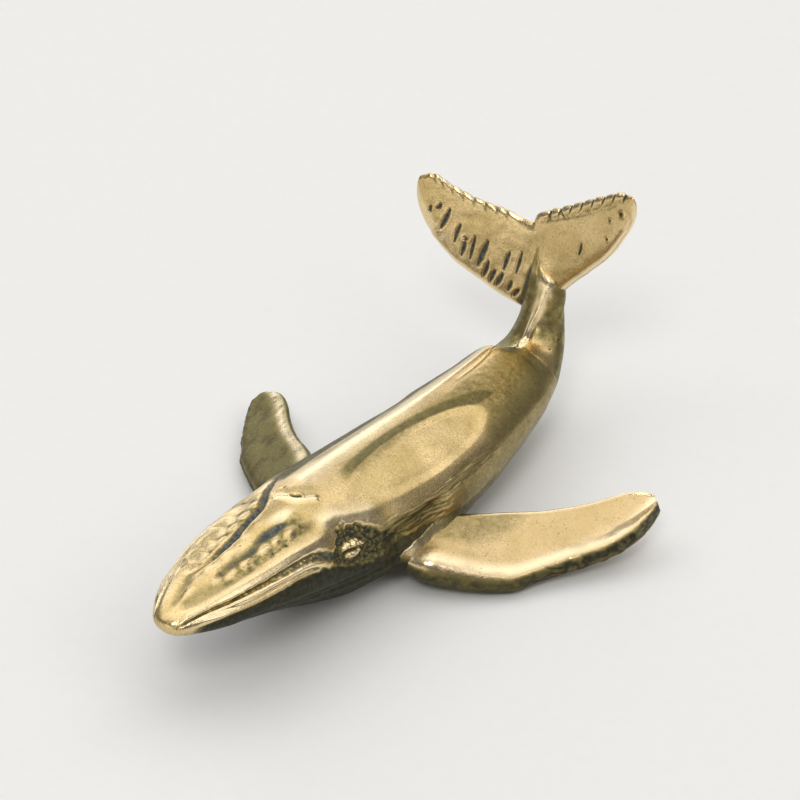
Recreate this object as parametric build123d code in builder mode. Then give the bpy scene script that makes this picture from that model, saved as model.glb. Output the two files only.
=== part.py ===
from build123d import *
import os
import math

os.makedirs("parts", exist_ok=True)

# Humpback whale desk ornament, solid brass, resting on its chest and belly.
# Millimetres, +Z up, head towards -Y, the animal's left side towards +X.
# All positions below are written in the animal's own working frame; SHIFT moves
# every piece by the same amount so that the box of the whole stands centred on the origin.

SHIFT = (-0.5725, 4.4646, 0.0)

# ------------------------------------------------------------------ trunk and tail stock
# running length, spine x, y, z, half width, height above, depth below,
# roll (left side up, degrees), heading (towards -X, degrees), roundness above, roundness below
STATIONS = [
    (0.00, 0.00, -31.00, 8.35, 0.30, 0.20, 0.20, 0, 0, 2.0, 2.0),
    (0.35, 0.00, -30.80, 8.37, 1.00, 0.58, 0.60, 0, 0, 2.0, 2.0),
    (1.30, 0.00, -29.80, 8.37, 1.95, 1.05, 1.15, 0, 0, 2.0, 2.0),
    (3.00, 0.00, -28.10, 8.28, 2.85, 1.60, 1.60, 0, 0, 2.1, 2.0),
    (5.50, 0.00, -25.60, 8.05, 3.80, 2.30, 2.15, 0, 0, 2.2, 1.9),
    (9.00, 0.00, -22.20, 7.55, 4.66, 3.20, 2.85, 0, 0, 2.2, 1.8),
    (12.50, 0.00, -18.80, 6.90, 5.25, 4.15, 3.80, 1, 0, 2.1, 1.8),
    (16.00, 0.00, -15.30, 6.30, 5.65, 4.80, 5.00, 3, 0, 2.0, 1.9),
    (20.00, 0.10, -11.30, 5.90, 6.15, 5.05, 5.95, 6, 0, 1.8, 2.0),
    (24.50, 0.28, -6.80, 5.70, 6.70, 5.00, 6.05, 9, 0, 1.7, 2.1),
    (29.50, 0.46, -1.80, 5.65, 6.80, 4.72, 6.05, 12, 0, 1.6, 2.1),
    (34.50, 0.60, 3.20, 5.65, 6.40, 4.40, 5.85, 14, 0, 1.55, 2.0),
    (39.00, 0.66, 7.70, 5.68, 5.80, 4.20, 5.00, 15, 0, 1.5, 2.0),
    (42.50, 0.68, 11.20, 5.70, 5.15, 4.15, 4.25, 15, 0, 1.45, 2.0),
    (44.80, 0.60, 13.50, 5.80, 4.75, 3.95, 3.90, 14.5, 0, 1.45, 1.95),
    (46.00, 0.58, 14.70, 5.90, 4.35, 3.05, 3.65, 14, 0, 1.5, 1.9),
    (47.30, 0.56, 16.00, 6.15, 3.80, 2.12, 3.35, 13, -1, 1.6, 1.9),
    (49.50, 0.50, 18.00, 7.00, 2.68, 1.78, 2.60, 11, -2, 1.6, 1.8),
    (52.00, 0.30, 19.50, 9.00, 2.02, 1.90, 2.00, 7, -5, 1.6, 1.8),
    (54.50, 0.05, 20.05, 11.40, 1.72, 1.85, 1.65, 3, -8, 1.6, 1.8),
    (56.00, -0.12, 20.18, 12.85, 1.20, 1.60, 1.40, 0, -9, 1.7, 1.8),
    (57.50, -0.38, 20.32, 14.30, 0.80, 1.25, 1.10, -2, -10, 1.8, 1.8),
    (60.00, -0.80, 20.60, 16.80, 0.30, 0.75, 0.70, -2, -10, 2.0, 2.0),
]
SECTION_POINTS = 28
JOINT_AT = 47.30        # the trunk casting ends here, the tail stock starts here
STOCK_END = 59.00       # end of the two prongs that hold the fluke
TENON_LENGTH = 3.0      # tail stock tenon inside the trunk
TENON_WIDTH = 3.0
TENON_HEIGHT = 2.2
REST_PLANE = 0.0        # belly linished flat at this height

# ------------------------------------------------------------------ pectoral fins
# leading edge point, trailing edge point, thickness
LEFT_FIN = [
    ((4.74, -8.6, 2.7), (6.41, -2.6, 4.6), 2.1),
    ((7.93, -6.85, 1.8), (8.03, -0.76, 4.2), 1.9),
    ((12.48, -4.15, 0.9), (9.97, 1.81, 3.7), 1.7),
    ((15.33, -0.37, 1.25), (12.14, 3.93, 3.6), 1.4),
    ((18.02, 3.52, 1.95), (14.53, 6.59, 3.8), 1.35),
    ((19.23, 6.54, 2.7), (16.19, 8.87, 4.1), 1.2),
    ((19.49, 8.62, 3.4), (17.64, 9.98, 4.3), 1.0),
    ((19.45, 9.55, 3.85), (18.5, 10.2, 4.25), 0.7),
]
RIGHT_FIN = [
    ((-5.3, -8.8, 2.0), (-5.1, -4.3, 3.9), 2.0),
    ((-8.6, -7.6, 1.6), (-6.2, -3.6, 3.7), 1.9),
    ((-11.6, -6.0, 1.3), (-7.4, -2.7, 3.45), 1.7),
    ((-14.27, -3.85, 1.1), (-8.85, -1.4, 3.2), 1.6),
    ((-16.42, -1.06, 1.2), (-11.36, -0.01, 2.9), 1.4),
    ((-17.94, 1.51, 1.45), (-13.86, 2.16, 2.7), 1.2),
    ((-18.33, 2.99, 1.8), (-15.65, 3.85, 2.5), 1.0),
    ((-18.0, 3.84, 2.1), (-16.74, 4.37, 2.35), 0.7),
]
FIN_POCKET = 2.6        # depth of the fin tenon inside the trunk, from the root section
FIN_TENON_WIDTH = 3.6
FIN_TENON_THICK = 1.1

# ------------------------------------------------------------------ fluke
FLUKE_CENTRE = (-0.60, 20.00, 11.93)
FLUKE_SPAN_DIR = (0.9718, 0.1851, 0.1461)     # towards the animal's left
FLUKE_AXIS_DIR = (-0.1699, 0.1197, 0.9782)    # from the root towards the notch
CUP = 0.0128                                  # lobes curve forward by CUP * span^2
# span, leading edge, trailing edge, thickness (along the fluke axis)
LEFT_LOBE = [
    (0.0, -2.45, 5.95, 1.6),
    (0.5, -2.05, 6.80, 1.6),
    (1.2, -1.35, 7.10, 1.6),
    (2.4, -0.30, 7.60, 1.6),
    (3.7, 0.85, 8.10, 1.45),
    (5.4, 2.30, 8.80, 1.35),
    (7.4, 4.05, 9.65, 1.2),
    (9.0, 6.20, 10.15, 1.05),
    (10.0, 7.90, 10.00, 0.85),
    (10.35, 8.75, 9.50, 0.5),
]
RIGHT_LOBE = [
    (0.0, -2.45, 5.95, 1.6),
    (1.2, -2.25, 6.35, 1.6),
    (2.6, -1.60, 6.90, 1.6),
    (4.2, -0.75, 7.35, 1.45),
    (5.8, 0.30, 7.95, 1.35),
    (7.4, 1.60, 8.85, 1.2),
    (8.9, 3.45, 9.75, 1.1),
    (9.9, 5.50, 9.55, 0.95),
    (10.35, 7.10, 8.60, 0.6),
]

# ------------------------------------------------------------------ engraved lines
# (running length, angle round the section from the left side towards the back, depth)
MOUTH = [(0.5, 41.0, 0.10), (2.1, 43.0, 0.30), (3.7, 44.0, 0.35), (6.9, 40.5, 0.38), (9.7, 40.0, 0.40),
         (11.7, 38.0, 0.40), (13.6, 32.0, 0.36), (15.0, 22.0, 0.28), (15.9, 13.0, 0.06)]
ROSTRAL = [(4.2, 72.0, 0.05), (5.5, 76.0, 0.22), (7.5, 79.0, 0.26), (9.5, 80.0, 0.28), (11.5, 79.5, 0.28),
           (13.5, 77.0, 0.28), (15.2, 71.0, 0.26), (17.0, 63.0, 0.18), (18.4, 56.0, 0.05)]
PLEATS = [[(3.0 + k, a, 0.05), (6.5 + k, a, 0.20), (12.0, a, 0.26), (17.0, a, 0.26), (22.0, a, 0.24),
           (26.5 - k, a, 0.16), (29.5 - k, a, 0.04)]
          for k, a in ((0.0, -75.0), (0.8, -60.0), (1.6, -42.0), (2.4, -24.0))]
NOSTRILS = [(16.5, 85.0), (16.5, 101.0)]
NOSTRIL_SIZE = (0.42, 0.95, 0.5)
EYES = [(17.4, 17.0), (17.4, 163.0)]
EYE_RADIUS = 0.62
EYE_SUNK = 0.28

BEAD_OUT = 0.30         # how far a braze bead stands out from the parent metal
BEAD_HALF = 0.55        # half width of a braze bead along the joint


def plus(a, b, k=1.0):
    return tuple(a[i] + k * b[i] for i in range(3))


def minus(a, b):
    return tuple(a[i] - b[i] for i in range(3))


def dot(a, b):
    return sum(a[i] * b[i] for i in range(3))


def cross(a, b):
    return (a[1] * b[2] - a[2] * b[1], a[2] * b[0] - a[0] * b[2], a[0] * b[1] - a[1] * b[0])


def unit(a):
    n = math.sqrt(dot(a, a))
    return tuple(v / n for v in a)


def cubic(column, s):
    """natural cubic curve through one column of the station table"""
    xs = [row[0] for row in STATIONS]
    ys = [row[column] for row in STATIONS]
    n = len(xs)
    a, b, c, d = [0.0] * n, [1.0] * n, [0.0] * n, [0.0] * n
    for i in range(1, n - 1):
        h0, h1 = xs[i] - xs[i - 1], xs[i + 1] - xs[i]
        a[i], b[i], c[i] = h0, 2 * (h0 + h1), h1
        d[i] = 6 * ((ys[i + 1] - ys[i]) / h1 - (ys[i] - ys[i - 1]) / h0)
    for i in range(1, n):
        k = a[i] / b[i - 1]
        b[i] -= k * c[i - 1]
        d[i] -= k * d[i - 1]
    m = [0.0] * n
    m[-1] = d[-1] / b[-1]
    for i in range(n - 2, -1, -1):
        m[i] = (d[i] - c[i] * m[i + 1]) / b[i]
    k = 0
    while k < n - 2 and s > xs[k + 1]:
        k += 1
    h = xs[k + 1] - xs[k]
    t = s - xs[k]
    return (ys[k] + t * ((ys[k + 1] - ys[k]) / h - h * (2 * m[k] + m[k + 1]) / 6)
            + t * t * m[k] / 2 + t ** 3 * (m[k + 1] - m[k]) / (6 * h))


def level(column, s):
    """piecewise monotone curve through one column, no overshoot"""
    xs = [row[0] for row in STATIONS]
    ys = [row[column] for row in STATIONS]
    n = len(xs)
    h = [xs[i + 1] - xs[i] for i in range(n - 1)]
    g = [(ys[i + 1] - ys[i]) / h[i] for i in range(n - 1)]
    m = [g[0]] + [0.0] * (n - 2) + [g[-1]]
    for i in range(1, n - 1):
        if g[i - 1] * g[i] > 0:
            w1, w2 = 2 * h[i] + h[i - 1], h[i] + 2 * h[i - 1]
            m[i] = (w1 + w2) / (w1 / g[i - 1] + w2 / g[i])
    k = 0
    while k < n - 2 and s > xs[k + 1]:
        k += 1
    t = (s - xs[k]) / h[k]
    return ((1 + 2 * t) * (1 - t) ** 2 * ys[k] + t * (1 - t) ** 2 * h[k] * m[k]
            + t * t * (3 - 2 * t) * ys[k + 1] + t * t * (t - 1) * h[k] * m[k + 1])


def frame_at(s):
    """centre, direction of travel, left, dorsal at running length s"""
    e = 1e-3
    p = tuple(cubic(i, s) for i in (1, 2, 3))
    q0, q1 = max(s - e, 0.0), min(s + e, STATIONS[-1][0])
    t = unit(minus(tuple(cubic(i, q1) for i in (1, 2, 3)), tuple(cubic(i, q0) for i in (1, 2, 3))))
    psi = -math.radians(level(8, s))
    b = (math.cos(psi), math.sin(psi), 0.0)
    b = unit(plus(b, t, -dot(b, t)))
    n = cross(b, t)
    r = math.radians(level(7, s))
    left = tuple(b[i] * math.cos(r) + n[i] * math.sin(r) for i in range(3))
    dorsal = tuple(n[i] * math.cos(r) - b[i] * math.sin(r) for i in range(3))
    return plus(p, SHIFT), t, left, dorsal


def trunk_plane(s):
    p, t, left, dorsal = frame_at(s)
    return Plane(origin=p, x_dir=left, z_dir=tuple(-v for v in t))


def trunk_profile(s, grow=0.0):
    """closed section outline in the plane of trunk_plane(s)"""
    w, up, down = level(4, s) + grow, level(5, s) + grow, level(6, s) + grow
    nt, nb = level(9, s), level(10, s)
    pts = []
    for i in range(SECTION_POINTS):
        a = 2 * math.pi * i / SECTION_POINTS
        c, d = math.cos(a), math.sin(a)
        e = 2 / (nt if d >= 0 else nb)
        h = up if d >= 0 else down
        pts.append((w * math.copysign(abs(c) ** e, c), h * math.copysign(abs(d) ** e, d)))
    return pts


def plate_plane(lead, trail, along):
    """plane of one fin or fluke section: x from trailing to leading edge"""
    mid = tuple((lead[i] + trail[i]) / 2 for i in range(3))
    x = unit(minus(lead, trail))
    z = unit(plus(along, x, -dot(along, x)))
    return Plane(origin=mid, x_dir=x, z_dir=z)


PLATE_HALF = [(1.0, 0.0), (0.96, 0.28), (0.85, 0.44), (0.63, 0.50), (0.27, 0.46), (-0.15, 0.38),
              (-0.58, 0.29), (-0.88, 0.20), (-1.0, 0.0)]


def plate_profile(chord, thick, grow=0.0):
    """upper and lower outline, blunt leading edge at +x, thin trailing edge at -x"""
    half, t = chord / 2 + grow, thick + 2 * grow
    return ([(half * u, t * v) for u, v in PLATE_HALF],
            [(half * u, -t * v) for u, v in reversed(PLATE_HALF)])


def fin_sections(table, grow=0.0):
    rows = []
    n = len(table)
    for i, (lead, trail, thick) in enumerate(table):
        lo, hi = table[max(i - 1, 0)], table[min(i + 1, n - 1)]
        mid = lambda r: tuple((r[0][k] + r[1][k]) / 2 for k in range(3))
        along = unit(minus(mid(hi), mid(lo)))
        lead, trail = plus(lead, SHIFT), plus(trail, SHIFT)
        rows.append((plate_plane(lead, trail, along), math.dist(lead, trail), thick))
    return rows


def fin_inboard(table, depth):
    """root section carried on into the trunk by depth"""
    lead, trail, thick = table[0]
    mid = lambda r: tuple((r[0][k] + r[1][k]) / 2 for k in range(3))
    along = unit(minus(mid(table[1]), mid(table[0])))
    return (plus(lead, along, -depth), plus(trail, along, -depth), thick)


def lobe_sections(table, side):
    """sections of one fluke lobe, span direction turned to the given side"""
    span, axis = unit(FLUKE_SPAN_DIR), unit(FLUKE_AXIS_DIR)
    face = cross(span, axis)
    rows = []
    for beta, lead, trail, thick in table:
        base = plus(plus(plus(FLUKE_CENTRE, span, side * beta), face, CUP * beta * beta), SHIFT)
        a, b = plus(base, axis, lead), plus(base, axis, trail)
        z = unit(plus(tuple(side * v for v in span), face, 2 * CUP * beta))
        x = unit(minus(a, b))
        mid = tuple((a[i] + b[i]) / 2 for i in range(3))
        rows.append((Plane(origin=mid, x_dir=x, z_dir=unit(plus(z, x, -dot(z, x)))), math.dist(a, b), thick))
    return rows


def skin_point(s, angle):
    """point on the section outline and its outward direction, in section coordinates"""
    w, up, down, nt, nb = (level(k, s) for k in (4, 5, 6, 9, 10))

    def at(deg):
        c, d = math.cos(math.radians(deg)), math.sin(math.radians(deg))
        e = 2 / (nt if d >= 0 else nb)
        return (w * math.copysign(abs(c) ** e, c), (up if d >= 0 else down) * math.copysign(abs(d) ** e, d))

    p, q0, q1 = at(angle), at(angle - 2), at(angle + 2)
    tx, ty = q1[0] - q0[0], q1[1] - q0[1]
    n = math.hypot(tx, ty)
    return p, (ty / n, -tx / n)


def groove_triangle(s, angle, depth, width):
    """open V across the skin, apex inside the metal"""
    (px, py), (nx, ny) = skin_point(s, angle)
    half = 0.5 * width * (0.35 + 0.65 * min(1.0, depth / 0.25))
    out = 0.25
    k = half * (1 + out / max(depth, 0.08))
    k = min(k, 1.6 * half + 0.1)
    return [(px + nx * out - ny * k, py + ny * out + nx * k), (px - nx * depth, py - ny * depth),
            (px + nx * out + ny * k, py + ny * out - nx * k)]


def skin_world(s, angle, lift):
    """point above the skin and the plane standing on it"""
    (px, py), (nx, ny) = skin_point(s, angle)
    pl = trunk_plane(s)
    o = pl.from_local_coords((px + nx * lift, py + ny * lift, 0))
    up = pl.from_local_coords((px + nx * (lift + 1), py + ny * (lift + 1), 0)) - o
    return Plane(origin=o, x_dir=pl.z_dir, z_dir=up)


TRUNK_CUTS = [row[0] for row in STATIONS if row[0] < JOINT_AT] + [JOINT_AT]
STOCK_CUTS = [JOINT_AT] + [row[0] for row in STATIONS if JOINT_AT < row[0] < STOCK_END] + [STOCK_END]

# ------------------------------------------------------------------ blanks used by several pieces
with BuildPart() as trunk_blank:
    for s in TRUNK_CUTS:
        with BuildSketch(trunk_plane(s)):
            with BuildLine():
                Spline(*trunk_profile(s), periodic=True)
            make_face()
    loft()

with BuildPart() as trunk_grown:
    for s in [5.5, 9.0, 12.5, 16.0, 20.0, 24.5, 29.5, 34.5, 39.0]:
        with BuildSketch(trunk_plane(s)):
            with BuildLine():
                Spline(*trunk_profile(s, BEAD_OUT), periodic=True)
            make_face()
    loft()

with BuildPart() as stock_blank:
    for s in STOCK_CUTS:
        with BuildSketch(trunk_plane(s)):
            with BuildLine():
                Spline(*trunk_profile(s), periodic=True)
            make_face()
    loft()

with BuildPart() as joint_grown:
    for s in [JOINT_AT - BEAD_HALF, JOINT_AT, JOINT_AT + BEAD_HALF]:
        with BuildSketch(trunk_plane(s)):
            with BuildLine():
                Spline(*trunk_profile(s, BEAD_OUT * (0.5 if s == JOINT_AT else 0.12)), periodic=True)
            make_face()
    loft()

with BuildPart() as stock_tenon:
    with BuildSketch(trunk_plane(JOINT_AT).offset(-0.6)):
        RectangleRounded(TENON_WIDTH, TENON_HEIGHT, 0.6)
    extrude(amount=TENON_LENGTH + 0.6)

with BuildPart() as left_fin_blank:
    for plane, chord, thick in fin_sections(LEFT_FIN):
        upper, lower = plate_profile(chord, thick)
        with BuildSketch(plane):
            with BuildLine():
                Spline(*upper)
                Spline(*lower)
            make_face()
    loft()

with BuildPart() as left_fin_grown:
    for plane, chord, thick in fin_sections([fin_inboard(LEFT_FIN, 1.5)] + LEFT_FIN[:3]):
        upper, lower = plate_profile(chord, thick, BEAD_OUT)
        with BuildSketch(plane):
            with BuildLine():
                Spline(*upper)
                Spline(*lower)
            make_face()
    loft()

with BuildPart() as left_fin_tenon:
    with BuildSketch(fin_sections(LEFT_FIN)[0][0].offset(1.2)):
        SlotOverall(FIN_TENON_WIDTH, FIN_TENON_THICK)
    extrude(amount=-FIN_POCKET - 1.2)

with BuildPart() as right_fin_blank:
    for plane, chord, thick in fin_sections(RIGHT_FIN):
        upper, lower = plate_profile(chord, thick)
        with BuildSketch(plane):
            with BuildLine():
                Spline(*upper)
                Spline(*lower)
            make_face()
    loft()

with BuildPart() as right_fin_grown:
    for plane, chord, thick in fin_sections([fin_inboard(RIGHT_FIN, 1.5)] + RIGHT_FIN[:3]):
        upper, lower = plate_profile(chord, thick, BEAD_OUT)
        with BuildSketch(plane):
            with BuildLine():
                Spline(*upper)
                Spline(*lower)
            make_face()
    loft()

with BuildPart() as right_fin_tenon:
    with BuildSketch(fin_sections(RIGHT_FIN)[0][0].offset(1.2)):
        SlotOverall(FIN_TENON_WIDTH, FIN_TENON_THICK)
    extrude(amount=-FIN_POCKET - 1.2)

with BuildPart() as left_lobe:
    for plane, chord, thick in lobe_sections(LEFT_LOBE, 1):
        upper, lower = plate_profile(chord, thick)
        with BuildSketch(plane):
            with BuildLine():
                Spline(*upper)
                Spline(*lower)
            make_face()
    loft()

with BuildPart() as right_lobe:
    for plane, chord, thick in lobe_sections(RIGHT_LOBE, -1):
        upper, lower = plate_profile(chord, thick)
        with BuildSketch(plane):
            with BuildLine():
                Spline(*upper)
                Spline(*lower)
            make_face()
    loft()

engraving = []
lines = [(MOUTH, 0.42)] + [(ROSTRAL, 0.50)] + [(row, 0.36) for row in PLEATS]
for path, width in lines:
    for mirrored in (False, True):
        with BuildPart() as cutter:
            for s, angle, depth in path:
                with BuildSketch(trunk_plane(s)):
                    with BuildLine():
                        Polyline(*groove_triangle(s, 180 - angle if mirrored else angle, depth, width), close=True)
                    make_face()
            loft(ruled=True)
        engraving.append(cutter.part)

nostrils = []
for s, angle in NOSTRILS:
    with BuildPart() as cutter:
        with BuildSketch(skin_world(s, angle, -NOSTRIL_SIZE[2])):
            Ellipse(NOSTRIL_SIZE[1] / 2, NOSTRIL_SIZE[0] / 2)
        extrude(amount=NOSTRIL_SIZE[2] + 0.6)
    nostrils.append(cutter.part)

eyes = []
for s, angle in EYES:
    with BuildPart() as ball:
        with Locations(skin_world(s, angle, -EYE_SUNK)):
            Sphere(EYE_RADIUS)
    eyes.append(ball.part)

print("blanks", trunk_blank.part.volume, stock_blank.part.volume, left_fin_blank.part.volume,
      right_fin_blank.part.volume, left_lobe.part.volume, right_lobe.part.volume)

# ------------------------------------------------------------------ pieces
with BuildPart() as body_rough:
    add(trunk_blank.part)
    add(stock_tenon.part, mode=Mode.SUBTRACT)
    add(left_fin_tenon.part, mode=Mode.SUBTRACT)
    add(right_fin_tenon.part, mode=Mode.SUBTRACT)
    for cut in engraving + nostrils:
        add(cut, mode=Mode.SUBTRACT)
    for ball in eyes:
        add(ball)
    with Locations((0, 0, REST_PLANE - 5)):
        Box(120, 120, 10, mode=Mode.SUBTRACT)

with BuildPart() as body_casting:
    add(body_rough.part.solids().sort_by(SortBy.VOLUME)[-1])
body_casting.part.label = "body_casting"

with BuildPart() as left_pectoral_fin:
    add(left_fin_blank.part)
    add(trunk_blank.part, mode=Mode.SUBTRACT)
    add(left_fin_tenon.part)
left_pectoral_fin.part.label = "left_pectoral_fin"

with BuildPart() as right_pectoral_fin:
    add(right_fin_blank.part)
    add(trunk_blank.part, mode=Mode.SUBTRACT)
    add(right_fin_tenon.part)
right_pectoral_fin.part.label = "right_pectoral_fin"

with BuildPart() as tail_fluke:
    add(left_lobe.part)
    add(right_lobe.part)
tail_fluke.part.label = "tail_fluke"

with BuildPart() as stock_rough:
    add(stock_blank.part)
    add(stock_tenon.part)
    add(tail_fluke.part, mode=Mode.SUBTRACT)

with BuildPart() as tail_stock:
    add(stock_rough.part.solids().sort_by(SortBy.VOLUME)[-1])
tail_stock.part.label = "tail_stock"

with BuildPart() as left_fin_braze:
    add(left_fin_grown.part)
    add(trunk_grown.part, mode=Mode.INTERSECT)
    add(trunk_blank.part, mode=Mode.SUBTRACT)
    add(left_pectoral_fin.part, mode=Mode.SUBTRACT)
left_fin_braze.part.label = "left_fin_braze"

with BuildPart() as right_fin_braze:
    add(right_fin_grown.part)
    add(trunk_grown.part, mode=Mode.INTERSECT)
    add(trunk_blank.part, mode=Mode.SUBTRACT)
    add(right_pectoral_fin.part, mode=Mode.SUBTRACT)
right_fin_braze.part.label = "right_fin_braze"

with BuildPart() as tail_stock_braze:
    add(joint_grown.part)
    add(trunk_blank.part, mode=Mode.SUBTRACT)
    add(stock_blank.part, mode=Mode.SUBTRACT)
tail_stock_braze.part.label = "tail_stock_braze"

for piece in (body_casting, left_pectoral_fin, right_pectoral_fin, tail_stock, tail_fluke,
              left_fin_braze, right_fin_braze, tail_stock_braze):
    print(piece.part.label, "solids", len(piece.part.solids()), "volume", round(piece.part.volume, 3),
          [round(v.volume, 4) for v in piece.part.solids()], piece.part.is_valid)

export_step(body_casting.part, "parts/body_casting.step")
export_step(left_pectoral_fin.part, "parts/left_pectoral_fin.step")
export_step(right_pectoral_fin.part, "parts/right_pectoral_fin.step")
export_step(tail_stock.part, "parts/tail_stock.step")
export_step(tail_fluke.part, "parts/tail_fluke.step")
export_step(left_fin_braze.part, "parts/left_fin_braze.step")
export_step(right_fin_braze.part, "parts/right_fin_braze.step")
export_step(tail_stock_braze.part, "parts/tail_stock_braze.step")
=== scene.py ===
import math
import bmesh
import bpy
import numpy as np
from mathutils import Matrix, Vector


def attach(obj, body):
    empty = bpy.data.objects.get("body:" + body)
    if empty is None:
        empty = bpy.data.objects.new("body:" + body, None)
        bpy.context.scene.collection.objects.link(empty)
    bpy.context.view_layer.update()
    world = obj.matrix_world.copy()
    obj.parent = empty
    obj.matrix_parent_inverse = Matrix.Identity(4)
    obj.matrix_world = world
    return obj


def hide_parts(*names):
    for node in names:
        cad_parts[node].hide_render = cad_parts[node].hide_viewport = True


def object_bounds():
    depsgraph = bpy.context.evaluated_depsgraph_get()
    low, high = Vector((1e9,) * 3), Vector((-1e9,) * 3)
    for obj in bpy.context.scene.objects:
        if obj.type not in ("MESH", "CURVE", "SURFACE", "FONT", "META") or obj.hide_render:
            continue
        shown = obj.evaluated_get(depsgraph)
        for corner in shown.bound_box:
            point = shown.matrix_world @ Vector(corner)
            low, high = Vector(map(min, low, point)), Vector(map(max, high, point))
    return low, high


# Humpback whale ornament in solid antique brass. Working lengths are millimetres in the
# animal's frame, as in the solid model; meshes are made in metres.

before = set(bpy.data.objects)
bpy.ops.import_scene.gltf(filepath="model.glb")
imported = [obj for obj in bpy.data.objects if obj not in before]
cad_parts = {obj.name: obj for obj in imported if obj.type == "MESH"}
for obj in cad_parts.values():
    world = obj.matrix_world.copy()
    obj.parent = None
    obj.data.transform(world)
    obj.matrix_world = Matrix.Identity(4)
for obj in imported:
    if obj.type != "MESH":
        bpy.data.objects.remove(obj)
CAD_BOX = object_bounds()
CAD_LO = [v * 1000 for v in CAD_BOX[0]]
CAD_HI = [v * 1000 for v in CAD_BOX[1]]

SHIFT = np.array((-0.5725, 4.4646, 0.0))
STATIONS = np.array([
    (0.00, 0.00, -31.00, 8.35, 0.30, 0.20, 0.20, 0, 0, 2.0, 2.0),
    (0.35, 0.00, -30.80, 8.37, 1.00, 0.58, 0.60, 0, 0, 2.0, 2.0),
    (1.30, 0.00, -29.80, 8.37, 1.95, 1.05, 1.15, 0, 0, 2.0, 2.0),
    (3.00, 0.00, -28.10, 8.28, 2.85, 1.60, 1.60, 0, 0, 2.1, 2.0),
    (5.50, 0.00, -25.60, 8.05, 3.80, 2.30, 2.15, 0, 0, 2.2, 1.9),
    (9.00, 0.00, -22.20, 7.55, 4.66, 3.20, 2.85, 0, 0, 2.2, 1.8),
    (12.50, 0.00, -18.80, 6.90, 5.25, 4.15, 3.80, 1, 0, 2.1, 1.8),
    (16.00, 0.00, -15.30, 6.30, 5.65, 4.80, 5.00, 3, 0, 2.0, 1.9),
    (20.00, 0.10, -11.30, 5.90, 6.15, 5.05, 5.95, 6, 0, 1.8, 2.0),
    (24.50, 0.28, -6.80, 5.70, 6.70, 5.00, 6.05, 9, 0, 1.7, 2.1),
    (29.50, 0.46, -1.80, 5.65, 6.80, 4.72, 6.05, 12, 0, 1.6, 2.1),
    (34.50, 0.60, 3.20, 5.65, 6.40, 4.40, 5.85, 14, 0, 1.55, 2.0),
    (39.00, 0.66, 7.70, 5.68, 5.80, 4.20, 5.00, 15, 0, 1.5, 2.0),
    (42.50, 0.68, 11.20, 5.70, 5.15, 4.15, 4.25, 15, 0, 1.45, 2.0),
    (44.80, 0.60, 13.50, 5.80, 4.75, 3.95, 3.90, 14.5, 0, 1.45, 1.95),
    (46.00, 0.58, 14.70, 5.90, 4.35, 3.05, 3.65, 14, 0, 1.5, 1.9),
    (47.30, 0.56, 16.00, 6.15, 3.80, 2.12, 3.35, 13, -1, 1.6, 1.9),
    (49.50, 0.50, 18.00, 7.00, 2.68, 1.78, 2.60, 11, -2, 1.6, 1.8),
    (52.00, 0.30, 19.50, 9.00, 2.02, 1.90, 2.00, 7, -5, 1.6, 1.8),
    (54.50, 0.05, 20.05, 11.40, 1.72, 1.85, 1.65, 3, -8, 1.6, 1.8),
    (56.00, -0.12, 20.18, 12.85, 1.20, 1.60, 1.40, 0, -9, 1.7, 1.8),
    (57.50, -0.38, 20.32, 14.30, 0.80, 1.25, 1.10, -2, -10, 1.8, 1.8),
    (60.00, -0.80, 20.60, 16.80, 0.30, 0.75, 0.70, -2, -10, 2.0, 2.0)])
JOINT_AT = 47.30
LEFT_FIN = np.array([
    (4.74, -8.6, 2.7, 6.41, -2.6, 4.6, 2.1), (7.93, -6.85, 1.8, 8.03, -0.76, 4.2, 1.9),
    (12.48, -4.15, 0.9, 9.97, 1.81, 3.7, 1.7), (15.33, -0.37, 1.25, 12.14, 3.93, 3.6, 1.4),
    (18.02, 3.52, 1.95, 14.53, 6.59, 3.8, 1.35), (19.23, 6.54, 2.7, 16.19, 8.87, 4.1, 1.2),
    (19.49, 8.62, 3.4, 17.64, 9.98, 4.3, 1.0), (19.45, 9.55, 3.85, 18.5, 10.2, 4.25, 0.7)])
RIGHT_FIN = np.array([
    (-5.3, -8.8, 2.0, -5.1, -4.3, 3.9, 2.0), (-8.6, -7.6, 1.6, -6.2, -3.6, 3.7, 1.9),
    (-11.6, -6.0, 1.3, -7.4, -2.7, 3.45, 1.7), (-14.27, -3.85, 1.1, -8.85, -1.4, 3.2, 1.6),
    (-16.42, -1.06, 1.2, -11.36, -0.01, 2.9, 1.4), (-17.94, 1.51, 1.45, -13.86, 2.16, 2.7, 1.2),
    (-18.33, 2.99, 1.8, -15.65, 3.85, 2.5, 1.0), (-18.0, 3.84, 2.1, -16.74, 4.37, 2.35, 0.7)])
FLUKE_CENTRE = np.array((-0.60, 20.00, 11.93))
FLUKE_SPAN = np.array((0.9718, 0.1851, 0.1461))
FLUKE_AXIS = np.array((-0.1699, 0.1197, 0.9782))
CUP = 0.0128
LEFT_LOBE = np.array([
    (0.0, -2.45, 5.95, 1.6), (0.5, -2.05, 6.80, 1.6), (1.2, -1.35, 7.10, 1.6), (2.4, -0.30, 7.60, 1.6),
    (3.7, 0.85, 8.10, 1.45), (5.4, 2.30, 8.80, 1.35), (7.4, 4.05, 9.65, 1.2), (9.0, 6.20, 10.15, 1.05),
    (10.0, 7.90, 10.00, 0.85), (10.35, 8.75, 9.50, 0.5)])
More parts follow.
